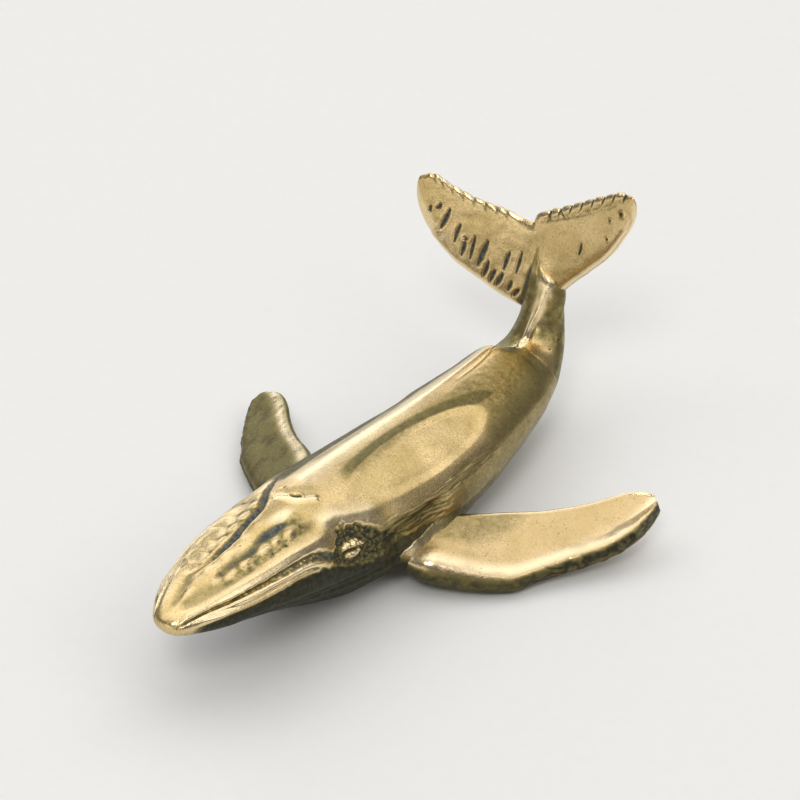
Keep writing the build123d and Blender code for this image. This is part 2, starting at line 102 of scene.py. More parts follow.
RIGHT_LOBE = np.array([
    (0.0, -2.45, 5.95, 1.6), (1.2, -2.25, 6.35, 1.6), (2.6, -1.60, 6.90, 1.6), (4.2, -0.75, 7.35, 1.45),
    (5.8, 0.30, 7.95, 1.35), (7.4, 1.60, 8.85, 1.2), (8.9, 3.45, 9.75, 1.1), (9.9, 5.50, 9.55, 0.95),
    (10.35, 7.10, 8.60, 0.6)])
PLATE_HALF = np.array([(1.0, 0.0), (0.96, 0.28), (0.85, 0.44), (0.63, 0.50), (0.27, 0.46), (-0.15, 0.38),
                       (-0.58, 0.29), (-0.88, 0.20), (-1.0, 0.0)])


def cubic_curve(xs, ys):
    """natural cubic curve through points, as a function"""
    xs, ys = np.asarray(xs, float), np.asarray(ys, float)
    n = len(xs)
    h = np.diff(xs)
    A = np.zeros((n, n))
    r = np.zeros(n)
    A[0, 0] = A[-1, -1] = 1.0
    for i in range(1, n - 1):
        A[i, i - 1:i + 2] = h[i - 1], 2 * (h[i - 1] + h[i]), h[i]
        r[i] = 6 * ((ys[i + 1] - ys[i]) / h[i] - (ys[i] - ys[i - 1]) / h[i - 1])
    m = np.linalg.solve(A, r)

    def at(s):
        s = np.asarray(s, float)
        k = np.clip(np.searchsorted(xs, s, side="left") - 1, 0, n - 2)
        t = s - xs[k]
        return (ys[k] + t * ((ys[k + 1] - ys[k]) / h[k] - h[k] * (2 * m[k] + m[k + 1]) / 6)
                + t * t * m[k] / 2 + t ** 3 * (m[k + 1] - m[k]) / (6 * h[k]))
    return at


def level_curve(xs, ys):
    """piecewise monotone curve through points, as a function"""
    xs, ys = np.asarray(xs, float), np.asarray(ys, float)
    n = len(xs)
    h = np.diff(xs)
    g = np.diff(ys) / h
    m = np.zeros(n)
    m[0], m[-1] = g[0], g[-1]
    for i in range(1, n - 1):
        if g[i - 1] * g[i] > 0:
            w1, w2 = 2 * h[i] + h[i - 1], h[i] + 2 * h[i - 1]
            m[i] = (w1 + w2) / (w1 / g[i - 1] + w2 / g[i])

    def at(s):
        s = np.clip(np.asarray(s, float), xs[0], xs[-1])
        k = np.clip(np.searchsorted(xs, s, side="left") - 1, 0, n - 2)
        t = (s - xs[k]) / h[k]
        return ((1 + 2 * t) * (1 - t) ** 2 * ys[k] + t * (1 - t) ** 2 * h[k] * m[k]
                + t * t * (3 - 2 * t) * ys[k + 1] + t * t * (t - 1) * h[k] * m[k + 1])
    return at


SPINE = [cubic_curve(STATIONS[:, 0], STATIONS[:, c]) for c in (1, 2, 3)]
COLUMN = {c: level_curve(STATIONS[:, 0], STATIONS[:, c]) for c in range(4, 11)}


def unit(v):
    return v / np.maximum(np.linalg.norm(v, axis=-1, keepdims=True), 1e-12)


def spine_at(s):
    return np.stack([f(s) for f in SPINE], -1)


def trunk_frame(s):
    """centre, travel, left and dorsal directions at running lengths s"""
    s = np.asarray(s, float)
    e = 1e-3
    q0, q1 = np.clip(s - e, 0, 60), np.clip(s + e, 0, 60)
    t = unit(spine_at(q1) - spine_at(q0))
    psi = -np.radians(COLUMN[8](s))
    b = np.stack([np.cos(psi), np.sin(psi), np.zeros_like(psi)], -1)
    b = unit(b - t * np.sum(b * t, -1, keepdims=True))
    n = np.cross(b, t)
    r = np.radians(COLUMN[7](s))[..., None]
    return spine_at(s) + SHIFT, t, b * np.cos(r) + n * np.sin(r), n * np.cos(r) - b * np.sin(r)


def outline(s, th):
    """section coordinates (left, dorsal) on the skin, s and th (radians) broadcast"""
    c, d = np.cos(th), np.sin(th)
    w, up, down, nt, nb = (COLUMN[k](s) for k in (4, 5, 6, 9, 10))
    e = 2 / np.where(d >= 0, nt, nb)
    h = np.where(d >= 0, up, down)
    return w * np.sign(c) * np.abs(c) ** e, h * np.sign(d) * np.abs(d) ** e


SHOULDER = level_curve([0, 42.5, 44.8, 46.0, 47.3, 49.5, 52.0, 54.5, 60], [1.0, 1.0, 1.0, 1.17, 1.42, 1.34, 1.06, 1.0, 1.0])
WAIST = level_curve([0, 44.8, 46.0, 47.3, 49.5, 52.0, 54.5, 60], [1.0, 1.0, 1.01, 1.045, 1.15, 1.09, 1.0, 1.0])


def skin(s, th):
    """points on the skin; behind the fin hump the flanks run on smoothly and only the middle dips"""
    s, th = np.broadcast_arrays(np.asarray(s, float), np.asarray(th, float))
    p, t, left, dorsal = trunk_frame(s)
    x, z = outline(s, th)
    deg = np.degrees(th)
    deg = np.where(deg > 90, 180 - deg, deg)
    k = np.clip((deg + 4) / 22, 0, 1) * np.clip((76 - deg) / 15, 0, 1)
    k = k * k * (3 - 2 * k) * np.where(th > np.pi / 2, 0.12, 1.0)
    z = np.where(z > 0, z * (1 + k * (SHOULDER(s) - 1)), z)
    return p + left * (x * WAIST(s))[..., None] + dorsal * z[..., None]


def inside_skin(p, guess=None):
    """(value, s): value is below 0 inside the trunk's skin"""
    p = np.asarray(p, float)
    ss = np.linspace(0, 59.5, 240)
    c = spine_at(ss) + SHIFT
    k = np.argmin(((p[..., None, :] - c) ** 2).sum(-1), -1)
    s = ss[k]
    for _ in range(8):
        q, t, left, dorsal = trunk_frame(s)
        s = np.clip(s + 0.8 * np.sum((p - q) * t, -1), 0, 59.9)
    q, t, left, dorsal = trunk_frame(s)
    x, z = np.sum((p - q) * left, -1), np.sum((p - q) * dorsal, -1)
    w, up, down, nt, nb = (COLUMN[k](s) for k in (4, 5, 6, 9, 10))
    n = np.where(z >= 0, nt, nb)
    h = np.where(z >= 0, up, down)
    return (np.abs(x) / w) ** n + (np.abs(z) / h) ** n - 1, s


HALF_KNOTS = np.concatenate([[0], np.cumsum(np.hypot(*np.diff(PLATE_HALF, axis=0).T))])
HALF_KNOTS = HALF_KNOTS / HALF_KNOTS[-1]
HALF_X, HALF_Y = cubic_curve(HALF_KNOTS, PLATE_HALF[:, 0]), cubic_curve(HALF_KNOTS, PLATE_HALF[:, 1])


def plate_round(v):
    """(u, w, side) round a plate section for v in 0..1: 0 and 1 leading edge, 0.5 trailing edge, first half upper"""
    v = np.mod(v, 1.0)
    k = np.where(v <= 0.5, v * 2, 2 - 2 * v)
    sg = np.where(v <= 0.5, 1.0, -1.0)
    return np.clip(HALF_X(k), -1, 1), sg * np.maximum(HALF_Y(k), 0), sg


def table_curves(table, keys):
    return [cubic_curve(keys, table[:, c]) for c in range(table.shape[1])]


def fin_surface(table, t, v):
    """t along the fin in table rows (0..7), v round the section; returns points, upper direction, u"""
    keys = np.arange(len(table), dtype=float)
    f = table_curves(table, keys)
    t = np.asarray(t, float)
    lead = np.stack([f[c](t) for c in (0, 1, 2)], -1) + SHIFT
    trail = np.stack([f[c](t) for c in (3, 4, 5)], -1) + SHIFT
    e = 0.02
    m0 = np.stack([(f[c](t - e) + f[c + 3](t - e)) / 2 for c in (0, 1, 2)], -1)
    m1 = np.stack([(f[c](t + e) + f[c + 3](t + e)) / 2 for c in (0, 1, 2)], -1)
    x = unit(lead - trail)
    z = unit(m1 - m0)
    z = unit(z - x * np.sum(z * x, -1, keepdims=True))
    y = np.cross(z, x)
    y = np.where(y[..., 2:3] < 0, -y, y)
    half = np.linalg.norm(lead - trail, axis=-1) / 2
    thick = level_curve(keys, table[:, 6])(np.clip(t, 0, len(table) - 1))
    u, w, sg = plate_round(v)
    mid = (lead + trail) / 2
    p = mid[:, None] + x[:, None] * (half[:, None] * u)[..., None] + y[:, None] * (thick[:, None] * w)[..., None]
    return p, x, y, z, u, w, sg, half, thick


FLUKE_FACE = np.cross(FLUKE_SPAN, FLUKE_AXIS)


def lobe_values(b):
    """leading edge, trailing edge and thickness for signed span b"""
    b = np.asarray(b, float)
    out = []
    for c in (1, 2, 3):
        left = level_curve(LEFT_LOBE[:, 0], LEFT_LOBE[:, c])(np.abs(b))
        right = level_curve(RIGHT_LOBE[:, 0], RIGHT_LOBE[:, c])(np.abs(b))
        out.append(np.where(b >= 0, left, right))
    return out


def fluke_surface(b, v):
    lead, trail, thick = lobe_values(b)
    base = FLUKE_CENTRE + SHIFT + b[:, None] * FLUKE_SPAN + (CUP * b * b)[:, None] * FLUKE_FACE
    n = unit(FLUKE_FACE - (2 * CUP * b)[:, None] * FLUKE_SPAN)
    u, w, sg = plate_round(v)
    q = (lead + trail)[:, None] / 2 + (lead - trail)[:, None] / 2 * u
    p = base[:, None] + q[..., None] * FLUKE_AXIS + n[:, None] * (thick[:, None] * w)[..., None]
    return p, n, q, u, w, sg, lead, trail, thick


# ------------------------------------------------------------------ small numeric tools
def smooth(a, b, x):
    t = np.clip((x - a) / (b - a), 0, 1)
    return t * t * (3 - 2 * t)


PERM = np.random.RandomState(7).permutation(256)
PERM = np.concatenate([PERM, PERM, PERM])
GRADS = unit(np.random.RandomState(11).normal(size=(256, 3)))


def noise(p, scale=1.0, seed=0):
    """smooth noise about -1..1 at points p (mm), scale in cells per mm"""
    p = np.asarray(p) * scale + np.array((17.3, 5.1, 9.7)) * (seed + 1)
    i = np.floor(p).astype(int)
    f = p - i
    u = f * f * f * (f * (f * 6 - 15) + 10)
    total = np.zeros(p.shape[:-1])
    for dx in (0, 1):
        for dy in (0, 1):
            for dz in (0, 1):
                h = PERM[(PERM[(PERM[(i[..., 0] + dx) & 255] + i[..., 1] + dy) & 255] + i[..., 2] + dz) & 255]
                g = GRADS[h]
                d = g[..., 0] * (f[..., 0] - dx) + g[..., 1] * (f[..., 1] - dy) + g[..., 2] * (f[..., 2] - dz)
                wx = u[..., 0] if dx else 1 - u[..., 0]
                wy = u[..., 1] if dy else 1 - u[..., 1]
                wz = u[..., 2] if dz else 1 - u[..., 2]
                total += d * wx * wy * wz
    return total * 1.7


def fbm(p, scale, octaves=3, seed=0):
    out, amp = 0, 1.0
    for k in range(octaves):
        out = out + amp * noise(p, scale * 2.03 ** k, seed + 3 * k)
        amp *= 0.5
    return out


def plane_points(x, y, z=0.0):
    x, y, z = np.broadcast_arrays(x, y, z)
    return np.stack([x, y, z], -1)


def line_distance(X, Y, points):
    """unsigned distance to a polyline, fraction along it, side (+1 left of travel)"""
    pts = np.asarray(points, float)
    seg = np.hypot(*np.diff(pts, axis=0).T)
    total, run = seg.sum(), 0.0
    best = np.full(X.shape, 1e9)
    frac = np.zeros(X.shape)
    side = np.ones(X.shape)
    for k in range(len(seg)):
        ax, ay = pts[k]
        dx, dy = (pts[k + 1] - pts[k]) / seg[k]
        t = np.clip((X - ax) * dx + (Y - ay) * dy, 0, seg[k])
        ex, ey = X - ax - dx * t, Y - ay - dy * t
        d = np.hypot(ex, ey)
        m = d < best
        best = np.where(m, d, best)
        frac = np.where(m, (run + t) / total, frac)
        side = np.where(m, np.sign(dx * ey - dy * ex + 1e-12), side)
        run += seg[k]
    return best, frac, side


def rounded(points, n=8):
    """the same line through more points, for smooth engraved lines"""
    pts = np.asarray(points, float)
    k = np.concatenate([[0], np.cumsum(np.hypot(*np.diff(pts, axis=0).T))])
    t = np.linspace(0, k[-1], n * (len(pts) - 1) + 1)
    return np.stack([level_curve(k, pts[:, 0])(t), level_curve(k, pts[:, 1])(t)], -1)


def bump(X, Y, x0, y0, lx, ly, turn=0.0, flat=0.55):
    """rounded flat-topped bump, 1 at its top"""
    c, s = math.cos(math.radians(turn)), math.sin(math.radians(turn))
    x, y = (X - x0) * c + (Y - y0) * s, -(X - x0) * s + (Y - y0) * c
    return 1 - smooth(flat, 1.25, np.sqrt((x / lx) ** 2 + (y / ly) ** 2))


def normals_of(P, wrap_v=True):
    du = np.gradient(P, axis=0)
    if wrap_v:
        dv = np.roll(P, -1, axis=1) - np.roll(P, 1, axis=1)
    else:
        dv = np.gradient(P, axis=1)
    n = np.cross(du, dv)
    return unit(n)


def make_piece(name, P, masks, caps=(True, True)):
    """closed mesh from a grid of points (rows along, columns round), in mm, with point masks"""
    nu, nv = P.shape[:2]
    verts = P.reshape(-1, 3)
    values = {k: np.broadcast_to(m, (nu, nv)).reshape(-1) for k, m in masks.items()}
    i = np.arange(nu - 1)[:, None] * nv
    j = np.arange(nv)[None, :]
    k = (j + 1) % nv
    quads = np.stack([i + j, i + k, i + nv + k, i + nv + j], -1).reshape(-1, 4)
    faces = [tuple(q) for q in quads.tolist()]
    extra, extra_masks = [], {key: [] for key in values}
    for row, on in ((0, caps[0]), (nu - 1, caps[1])):
        if on:
            c = len(verts) + len(extra)
            extra.append(P[row].mean(0))
            for key in values:
                extra_masks[key].append(float(values[key][row * nv:(row + 1) * nv].mean()))
            for a in range(nv):
                b = (a + 1) % nv
                faces.append((row * nv + b, row * nv + a, c) if row == 0 else (row * nv + a, row * nv + b, c))
    if extra:
        verts = np.concatenate([verts, np.array(extra)])
        for key in values:
            values[key] = np.concatenate([values[key], extra_masks[key]])
    tri = verts[quads[:, :3]]
    tri2 = verts[quads[:, [0, 2, 3]]]
    mid = verts.mean(0)
    vol = np.einsum("ij,ij->i", tri[:, 0] - mid, np.cross(tri[:, 1] - mid, tri[:, 2] - mid)).sum()
    vol += np.einsum("ij,ij->i", tri2[:, 0] - mid, np.cross(tri2[:, 1] - mid, tri2[:, 2] - mid)).sum()
    if vol < 0:
        faces = [f[::-1] for f in faces]
    mesh = bpy.data.meshes.new(name)
    mesh.from_pydata((verts * 0.001).tolist(), [], faces)
    for key, val in values.items():
        attr = mesh.attributes.new(key, "FLOAT", "POINT")
        attr.data.foreach_set("value", np.clip(val, 0, 1).astype(np.float32))
    mesh.polygons.foreach_set("use_smooth", [True] * len(mesh.polygons))
    mesh.update()
    obj = bpy.data.objects.new(name, mesh)
    bpy.context.scene.collection.objects.link(obj)
    return obj


# ------------------------------------------------------------------ trunk
def spread(edges, steps):
    """grid values with a given step in each stretch, eased from one to the next"""
    out = [edges[0]]
    while out[-1] < edges[-1] - 1e-6:
        out.append(out[-1] + np.interp(out[-1], edges, steps))
    out = np.array(out)
    return edges[0] + (out - edges[0]) * (edges[-1] - edges[0]) / (out[-1] - edges[0])


class Skin:
    """rows of running length against angles round the section, with the arc length from the back's middle"""

    def __init__(self, s, deg):
        self.s, self.deg = s, deg
        self.P = skin(s[:, None], np.radians(deg)[None, :])
        self.N = normals_of(self.P)
        if np.sum(self.N[:, np.argmin(abs(deg - 90))] * trunk_frame(s)[3]) < 0:
            self.N = -self.N
        fine = np.arange(-270, 91 + 360, 1.0)
        F = skin(s[:, None], np.radians(fine)[None, :])
        d = np.concatenate([np.zeros((len(s), 1)), np.cumsum(np.linalg.norm(np.diff(F, axis=1), axis=-1), 1)], 1)
        d = d - d[:, [int(np.argmin(abs(fine - 90)))]]
        self.fine, self.arc = fine, -d
        self.A = np.stack([np.interp(deg, fine, self.arc[r]) for r in range(len(s))])
        self.S = np.broadcast_to(s[:, None], self.A.shape)

    def at(self, points):
        """(running length, angle) pairs to (running length, arc) pairs"""
        out = []
        for q, ang in points:
            r = int(np.argmin(abs(self.s - q)))
            out.append((q, float(np.interp(ang, self.fine, self.arc[r]))))
        return out

    def line(self, points, mirrored=False, n=6):
        pts = np.array(self.at(points))
        return line_distance(self.S, -self.A if mirrored else self.A, rounded(pts, n) if n else pts)

    def bump(self, s0, ang, ls, la, turn=0.0, flat=0.55, mirrored=False):
        (_, a0), = self.at([(s0, ang)])
        return bump(self.S, -self.A if mirrored else self.A, s0, a0, ls, la, turn, flat)


BEVEL = [(0.6, 52), (1.7, 52), (3.8, 51), (6.0, 49), (8.4, 47), (11.0, 45.5), (13.6, 42), (15.8, 39.5)]
MOUTH = [(0.3, 24), (0.7, 31), (1.3, 36), (2.4, 38.5), (3.4, 37.5), (4.6, 35), (6.3, 34), (8.1, 33.5), (10.7, 32.5),
         (12.8, 30.5), (14.0, 26.5), (15.1, 19)]
LOWER_LIP = [(0.5, 10), (1.6, 19), (3.4, 22), (5.0, 23.5), (6.7, 24), (7.9, 25), (9.8, 25.5), (11.8, 25), (13.4, 21),
             (14.5, 13)]
UNDER_LIP = [(1.6, 10), (3.8, 15), (6.5, 14), (9.0, 17), (10.7, 19), (12.4, 18.5), (13.8, 13)]
GROOVE_FAR = [(4.4, 107), (5.0, 105), (5.8, 101.5), (6.9, 99), (8.1, 98.5), (9.3, 98), (10.4, 100.5), (11.6, 102),
              (12.6, 102.5), (13.4, 103.5), (14.8, 110), (16.2, 117), (17.1, 120.5), (18.8, 126.5)]
GROOVE_NEAR = [(5.0, 80.5), (6.5, 78.5), (7.8, 79.5), (8.6, 77.5), (9.5, 77), (10.8, 77.5), (12.0, 76.5), (13.1, 76),
               (14.4, 73.5)]
BACK_RIDGE = [(17.5, 94), (18.5, 96), (21.4, 98.5), (23.9, 99), (28.6, 99), (33.2, 97), (37.8, 92), (41.5, 87),
              (44.0, 84), (45.2, 86)]
# spot centres: running length, angle, half length, half width, height
MIDDLE_TUBERCLES = [(11.9, 91, .80, .36, .05), (10.0, 92, .58, .36, .09), (7.9, 91, .74, .50, .15), (6.15, 92.5, .76, .50, .15),
                    (4.6, 95, .60, .42, .10), (3.4, 94, .5, .36, .06)]
NEAR_TUBERCLES = [(12.6, 64, .66, .46, .24), (11.2, 67.8, .50, .34, .19), (10.0, 70, .64, .36, .20), (7.95, 70.2, .60, .43, .25),
                  (6.4, 72.2, .60, .33, .22), (5.3, 76, .46, .28, .11)]
FAR_TUBERCLES = [(13.0, 126, .98, .78, .12), (11.25, 125.5, .92, .80, .13), (9.6, 121.5, .92, .84, .13), (8.0, 117.5, .84, .80, .13),
                 (6.5, 116, .78, .66, .12), (5.2, 114.5, .64, .54, .10), (13.7, 112, .66, .42, .10), (12.0, 110.5, .64, .38, .10),
                 (10.35, 109.5, .64, .36, .10), (8.8, 107.5, .56, .32, .09), (12.3, 141, .86, .5, .10), (10.3, 138, .86, .5, .10),
                 (8.3, 134, .84, .5, .10), (6.6, 131, .76, .46, .09)]


def root_sink(S, fold):
    """how far (mm) the flank is sunk between the eye and the fin root"""
    return 0.75 * smooth(20.6, 22.8, S) * (1 - smooth(26.2, 29.0, S)) * smooth(-30, -14, fold) * (1 - smooth(2, 18, fold))


def head_features(K):
    """height (mm, outwards), tarnish with painted shade, wear with painted highlights, and blue-grey oxide for the
    trunk's skin
    """
    H = np.zeros(K.A.shape)
    oxide = np.zeros(K.A.shape)
    dark = np.zeros(K.A.shape)
    shine = np.zeros(K.A.shape)
    P, S = K.P, K.S
    flow = fbm(P, 0.30, 2, 1)
    grain = fbm(P, 2.2, 3, 5)
    pebble = fbm(P, 3.4, 2, 9)
    fold = np.broadcast_to(np.where(K.deg > 90, 180 - K.deg, K.deg)[None, :], S.shape)
    H += 0.018 * flow
    H -= root_sink(S, fold)
    for far in (False, True):
        A = -K.A if far else K.A
        side = smooth(-0.4, 0.4, A)          # this half of the animal only
        wob = noise(P, 1.6, 21 + far)
        # olive hollow above the jaw's rim; painted highlight along the rim
        d, t, sd = K.line(BEVEL, far)
        ends = smooth(0.0, 0.10, t) * (1 - smooth(0.88, 1.0, t))
        up = -sd * d
        H += ends * side * 0.13 * np.exp(-(up / 0.50) ** 2)
        H -= ends * side * 0.17 * np.exp(-((up - 1.10) / 0.62) ** 2)
        dark = np.maximum(dark, ends * side * 0.42 * np.exp(-((up - 1.20) / 0.65) ** 2) * (1 + 0.2 * grain))
        shine = np.maximum(shine, ends * side * np.exp(-((up + 0.45) / 0.62) ** 2))
        # mouth: pitted grey line, wider towards the corner
        d, t, sd = K.line(MOUTH, far)
        w = np.interp(t, [0, 0.3, 0.55, 0.75, 0.9, 1], [0.09, 0.13, 0.21, 0.31, 0.45, 0.36]) * (1 + 0.22 * wob)
        g = np.exp(-(d / w) ** 4)
        depth = np.interp(t, [0, 0.08, 0.3, 0.8, 0.95, 1], [0.03, 0.09, 0.14, 0.18, 0.17, 0.10])
        H -= side * g * depth * (1 + 0.22 * pebble)
        crack = np.exp(-((-sd * d - 0.55 * w) / (0.08 + 0.1 * w)) ** 2) * smooth(0.02, 0.1, t) * (1 - smooth(0.9, 1, t))
        H -= side * crack * 0.10
        dark = np.maximum(dark, side * g * (0.80 + 0.34 * pebble) * smooth(0.0, 0.06, t))
        oxide = np.maximum(oxide, 0.75 * side * g)
        dark = np.maximum(dark, side * 0.95 * crack)
        # lower lip: bright roll, thin edge below it, throat stepped in
        d, t, sd = K.line(LOWER_LIP, far)
        ends = smooth(0.02, 0.15, t) * (1 - smooth(0.90, 1.0, t))
        H += ends * side * 0.20 * np.exp(-(d / 0.28) ** 2)
        lip = ends * side * np.exp(-(d / 0.30) ** 2)
        shine = np.maximum(shine, lip)
        d, t, sd = K.line(UNDER_LIP, far)
        ends = smooth(0.02, 0.2, t) * (1 - smooth(0.9, 1.0, t))
        H += ends * side * 0.12 * np.exp(-(d / 0.13) ** 2) * (1 + 0.2 * wob)
        edge = ends * side * np.exp(-(d / 0.13) ** 2)
        H -= ends * side * 0.12 * np.exp(-((-sd * d - 0.30) / 0.16) ** 2)
        # throat and belly: painted shade over the underside, weaker towards the tail
        lim = np.interp(S, [0.6, 1.6, 3.8, 6.5, 9, 10.7, 12.4, 14, 15.2, 17.3, 19.5, 22, 26, 32, 44],
                        [-10, 6, 13, 12, 15, 17, 16.5, 14, 10, -2, -9, -11, -14, -20, -28])
        throat = side * (1 - smooth(lim - 3, lim + 3, fold + 2.5 * wob)) * smooth(0.8, 2.4, S)
        amount = np.interp(S, [2, 18, 26, 36, 47], [0.92, 0.92, 0.74, 0.56, 0.46])
        dark = np.maximum(dark, throat * amount * (1 + 0.08 * grain) * (1 - 0.9 * edge))
        # dull pocket round the eye, back to the fin root
        top = np.interp(S, [14.6, 15.2, 16.0, 16.6, 17.2, 18.7, 19.7, 20.3, 21.1, 22.2, 24.0],
                        [10, 22, 33, 39, 40.5, 35.5, 29.5, 25, 16, 6, -4])
        pocket = side * (1 - smooth(top - 4.5, top + 2.5, fold + 4 * wob)) * smooth(14.6, 15.6, S) * (1 - smooth(22.4, 25.5, S))
        pocket = pocket * smooth(lim - 8, lim + 4, fold)
        crust = 1 - np.clip(np.abs(fbm(P, 1.9, 2, 35)) * 2.6, 0, 1)
        H -= pocket * (0.32 + 0.17 * crust + 0.04 * pebble)
        dark = np.maximum(dark, pocket * (0.62 + 0.34 * crust))
        oxide = np.maximum(oxide, 0.22 * pocket)
        (_, a_eye), = K.at([(17.7, 14.5)])
        ball = np.sqrt(((S - 17.6) / 1.25) ** 2 + ((A - a_eye) / 0.85) ** 2)
        H += side * 0.24 * (1 - smooth(0.1, 1.15, ball))
        for lid, width, high in (([(16.55, 19.6), (17.0, 20.8), (17.7, 20.2), (18.25, 18.6), (18.65, 16.0)], 0.22, 0.26),
                                 ([(16.75, 11.8), (17.15, 10.9), (17.6, 10.4), (18.05, 10.9)], 0.19, 0.20)):
            d, t, sd = K.line(lid, far)
            width = width * (0.60 + 0.65 * np.sin(np.pi * np.clip(0.15 + 0.75 * t, 0, 1)))
            m = np.exp(-(d / width) ** 2.4)
            H += side * high * m
            dark = dark * (1 - side * np.clip(1.25 * m, 0, 1))
            shine = np.maximum(shine, side * m)
        d, t, sd = K.line([(16.5, 17.0), (17.2, 15.8), (18.1, 14.6), (18.7, 13.0)], far)
        H -= side * 0.12 * np.exp(-(d / 0.14) ** 2)
        dark = np.maximum(dark, side * 0.50 * np.exp(-(d / 0.26) ** 2))
        # brow: low ridge with a painted highlight along it
        d, t, sd = K.line([(14.6, 50), (15.6, 51.5), (16.9, 51), (18.5, 43.5), (20.3, 36.5), (22.0, 30)], far)
        ends = smooth(0, 0.2, t) * (1 - smooth(0.75, 1, t))
        H += ends * side * 0.11 * np.exp(-(d / 0.75) ** 2)
        shine = np.maximum(shine, ends * side * np.exp(-(d / 0.8) ** 2))
        # wrinkles behind the eye and along the flank
        zone = smooth(19.4, 21.2, S) * (1 - smooth(26.5, 30.5, S)) * smooth(-22, -8, fold) * (1 - smooth(16, 27, fold + (S - 21) * 0.8))
        zone2 = smooth(26.5, 29, S) * (1 - smooth(33.5, 37, S)) * smooth(-6, 4, fold) * (1 - smooth(15, 23, fold))
        along = plane_points(S * 0.20 + 0.35 * noise(P, 0.5, 41), A * 1.9 - S * 0.20, far * 3.0)
        streak = 1 - np.clip(np.abs(fbm(along, 1.0, 2, 43)) * 3.4, 0, 1)
        area = np.maximum(zone, 0.40 * zone2) * side
        H -= area * 0.12 * streak
        H += area * 0.03 * fbm(P, 1.2, 2, 47)
        dark = np.maximum(dark, area * (0.44 + 0.40 * streak))
        for cut in ([(27.5, 15.5), (29.2, 14.6), (30.8, 13.4)], [(28.6, 19), (30.6, 17.2), (32.4, 15)],
                    [(30.2, 20), (31.6, 18.6), (33.2, 16)], [(29.2, 9.5), (31, 8), (32.4, 6)],
                    [(31.2, 12.5), (32.8, 11), (34.0, 9)], [(27.6, 10), (29.0, 9), (30.0, 8)]):
            d, t, sd = K.line(cut, far, n=4)
            d = d + 0.06 * noise(P, 1.4, 49)
            m = np.exp(-(d / (0.12 * np.sin(np.pi * np.clip(t * 0.9 + 0.05, 0, 1)) + 0.03)) ** 2)
            H -= side * 0.06 * m
            dark = np.maximum(dark, 0.58 * side * m)
        # shallow smooth hollow on the flank, crisp at its tail end; painted shade above, behind and below it
        (_, a_mid), = K.at([(29.5, 50)])
        reach = np.where(S > 28.5, 8.6, 9.5)
        q = np.sqrt(((S - 28.5) / reach) ** 2 + ((A - a_mid - 0.03 * (S - 28.5)) / 2.35) ** 2)
        rim = np.interp(S, [20, 30, 36], [0.45, 0.25, 0.16])
        H -= side * 0.15 * (1 - smooth(1.0 - rim, 1.05, q + 0.02 * noise(P, 0.4, 51)))
        above = smooth(0.3, -0.5, A - a_mid)
        around = side * smooth(0.97, 1.08, q) * smooth(19.0, 23.0, S)
        dark = np.maximum(dark, 0.62 * around * above * (1 - smooth(1.30, 1.62, q)) * (1 + 0.1 * grain))
        tailward = side * smooth(0.98, 1.10, q) * smooth(33.5, 36.5, S) * (1 - smooth(70, 79, fold)) * smooth(-30, -10, fold)
        dark = np.maximum(dark, 0.46 * tailward * (1 + 0.15 * grain))
        dark = np.maximum(dark, 0.46 * side * smooth(26, 31, S) * (1 - smooth(10, 20, fold)) * (1 + 0.15 * grain))
    # rostral grooves either side of the middle ridge
    d, t, sd = K.line(GROOVE_FAR)
    w = np.interp(t, [0, 0.15, 0.35, 0.85, 1], [0.20, 0.28, 0.33, 0.36, 0.20]) * (1 + 0.16 * noise(P, 1.3, 61))
    ends = smooth(0, 0.16, t) * (1 - smooth(0.93, 1, t))
    H -= ends * 0.36 * np.exp(-(d / w) ** 2.4)
    dark = np.maximum(dark, smooth(0, 0.3, t) * (1 - smooth(0.96, 1, t)) * np.exp(-(d / (w * 1.05)) ** 4) * (0.90 + 0.3 * pebble))
    dark = np.maximum(dark, 0.55 * (1 - smooth(0.1, 0.3, t)) * smooth(0, 0.05, t) * np.exp(-(d / w) ** 2))
    oxide = np.maximum(oxide, np.exp(-(d / (w * 1.4)) ** 4))
    d, t, sd = K.line(GROOVE_NEAR)
    w = np.interp(t, [0, 0.3, 0.7, 1], [0.28, 0.42, 0.56, 0.52]) * (1 + 0.18 * noise(P, 0.9, 63))
    ends = smooth(0, 0.12, t) * (1 - smooth(0.86, 1, t))
    H -= ends * 0.30 * np.exp(-(d / (w * 1.25)) ** 2)
    patchy = np.clip(0.85 + 0.7 * noise(P, 0.8, 64), 0.35, 1)
    dark = np.maximum(dark, 0.92 * ends * np.exp(-(d / w) ** 2.4) * patchy)
    oxide = np.maximum(oxide, np.exp(-(d / (w * 1.4)) ** 4))
    # painted highlight on the near furrow's upper side, clearing the dark there
    white = K.bump(13.5, 82.5, 1.7, 0.62, turn=14, flat=0.2)
    dark = dark * (1 - 0.9 * white)
    shine = np.maximum(shine, white)
    # tubercles: middle row, near row, far rows
    rows = np.zeros(K.A.shape)
    for k, (s0, ang, ls, la, h) in enumerate(MIDDLE_TUBERCLES + NEAR_TUBERCLES + FAR_TUBERCLES):
        grow = 1.0 if ang > 100 else 1.22
        m = K.bump(s0, ang, grow * ls * (1 + 0.14 * math.sin(5.3 * k)), grow * la * (1 + 0.12 * math.cos(3.9 * k)),
                   turn=(-14 if ang < 90 else 10) + 12 * math.sin(7.1 * k), flat=0.0 if ang < 100 else 0.3)
        H += h * (0.42 if ang > 100 else 0.58) * m
        rows = np.maximum(rows, m)
        shine = np.maximum(shine, 0.35 * m)
        dark = dark * (1 - 0.75 * np.clip(1.4 * m, 0, 1))
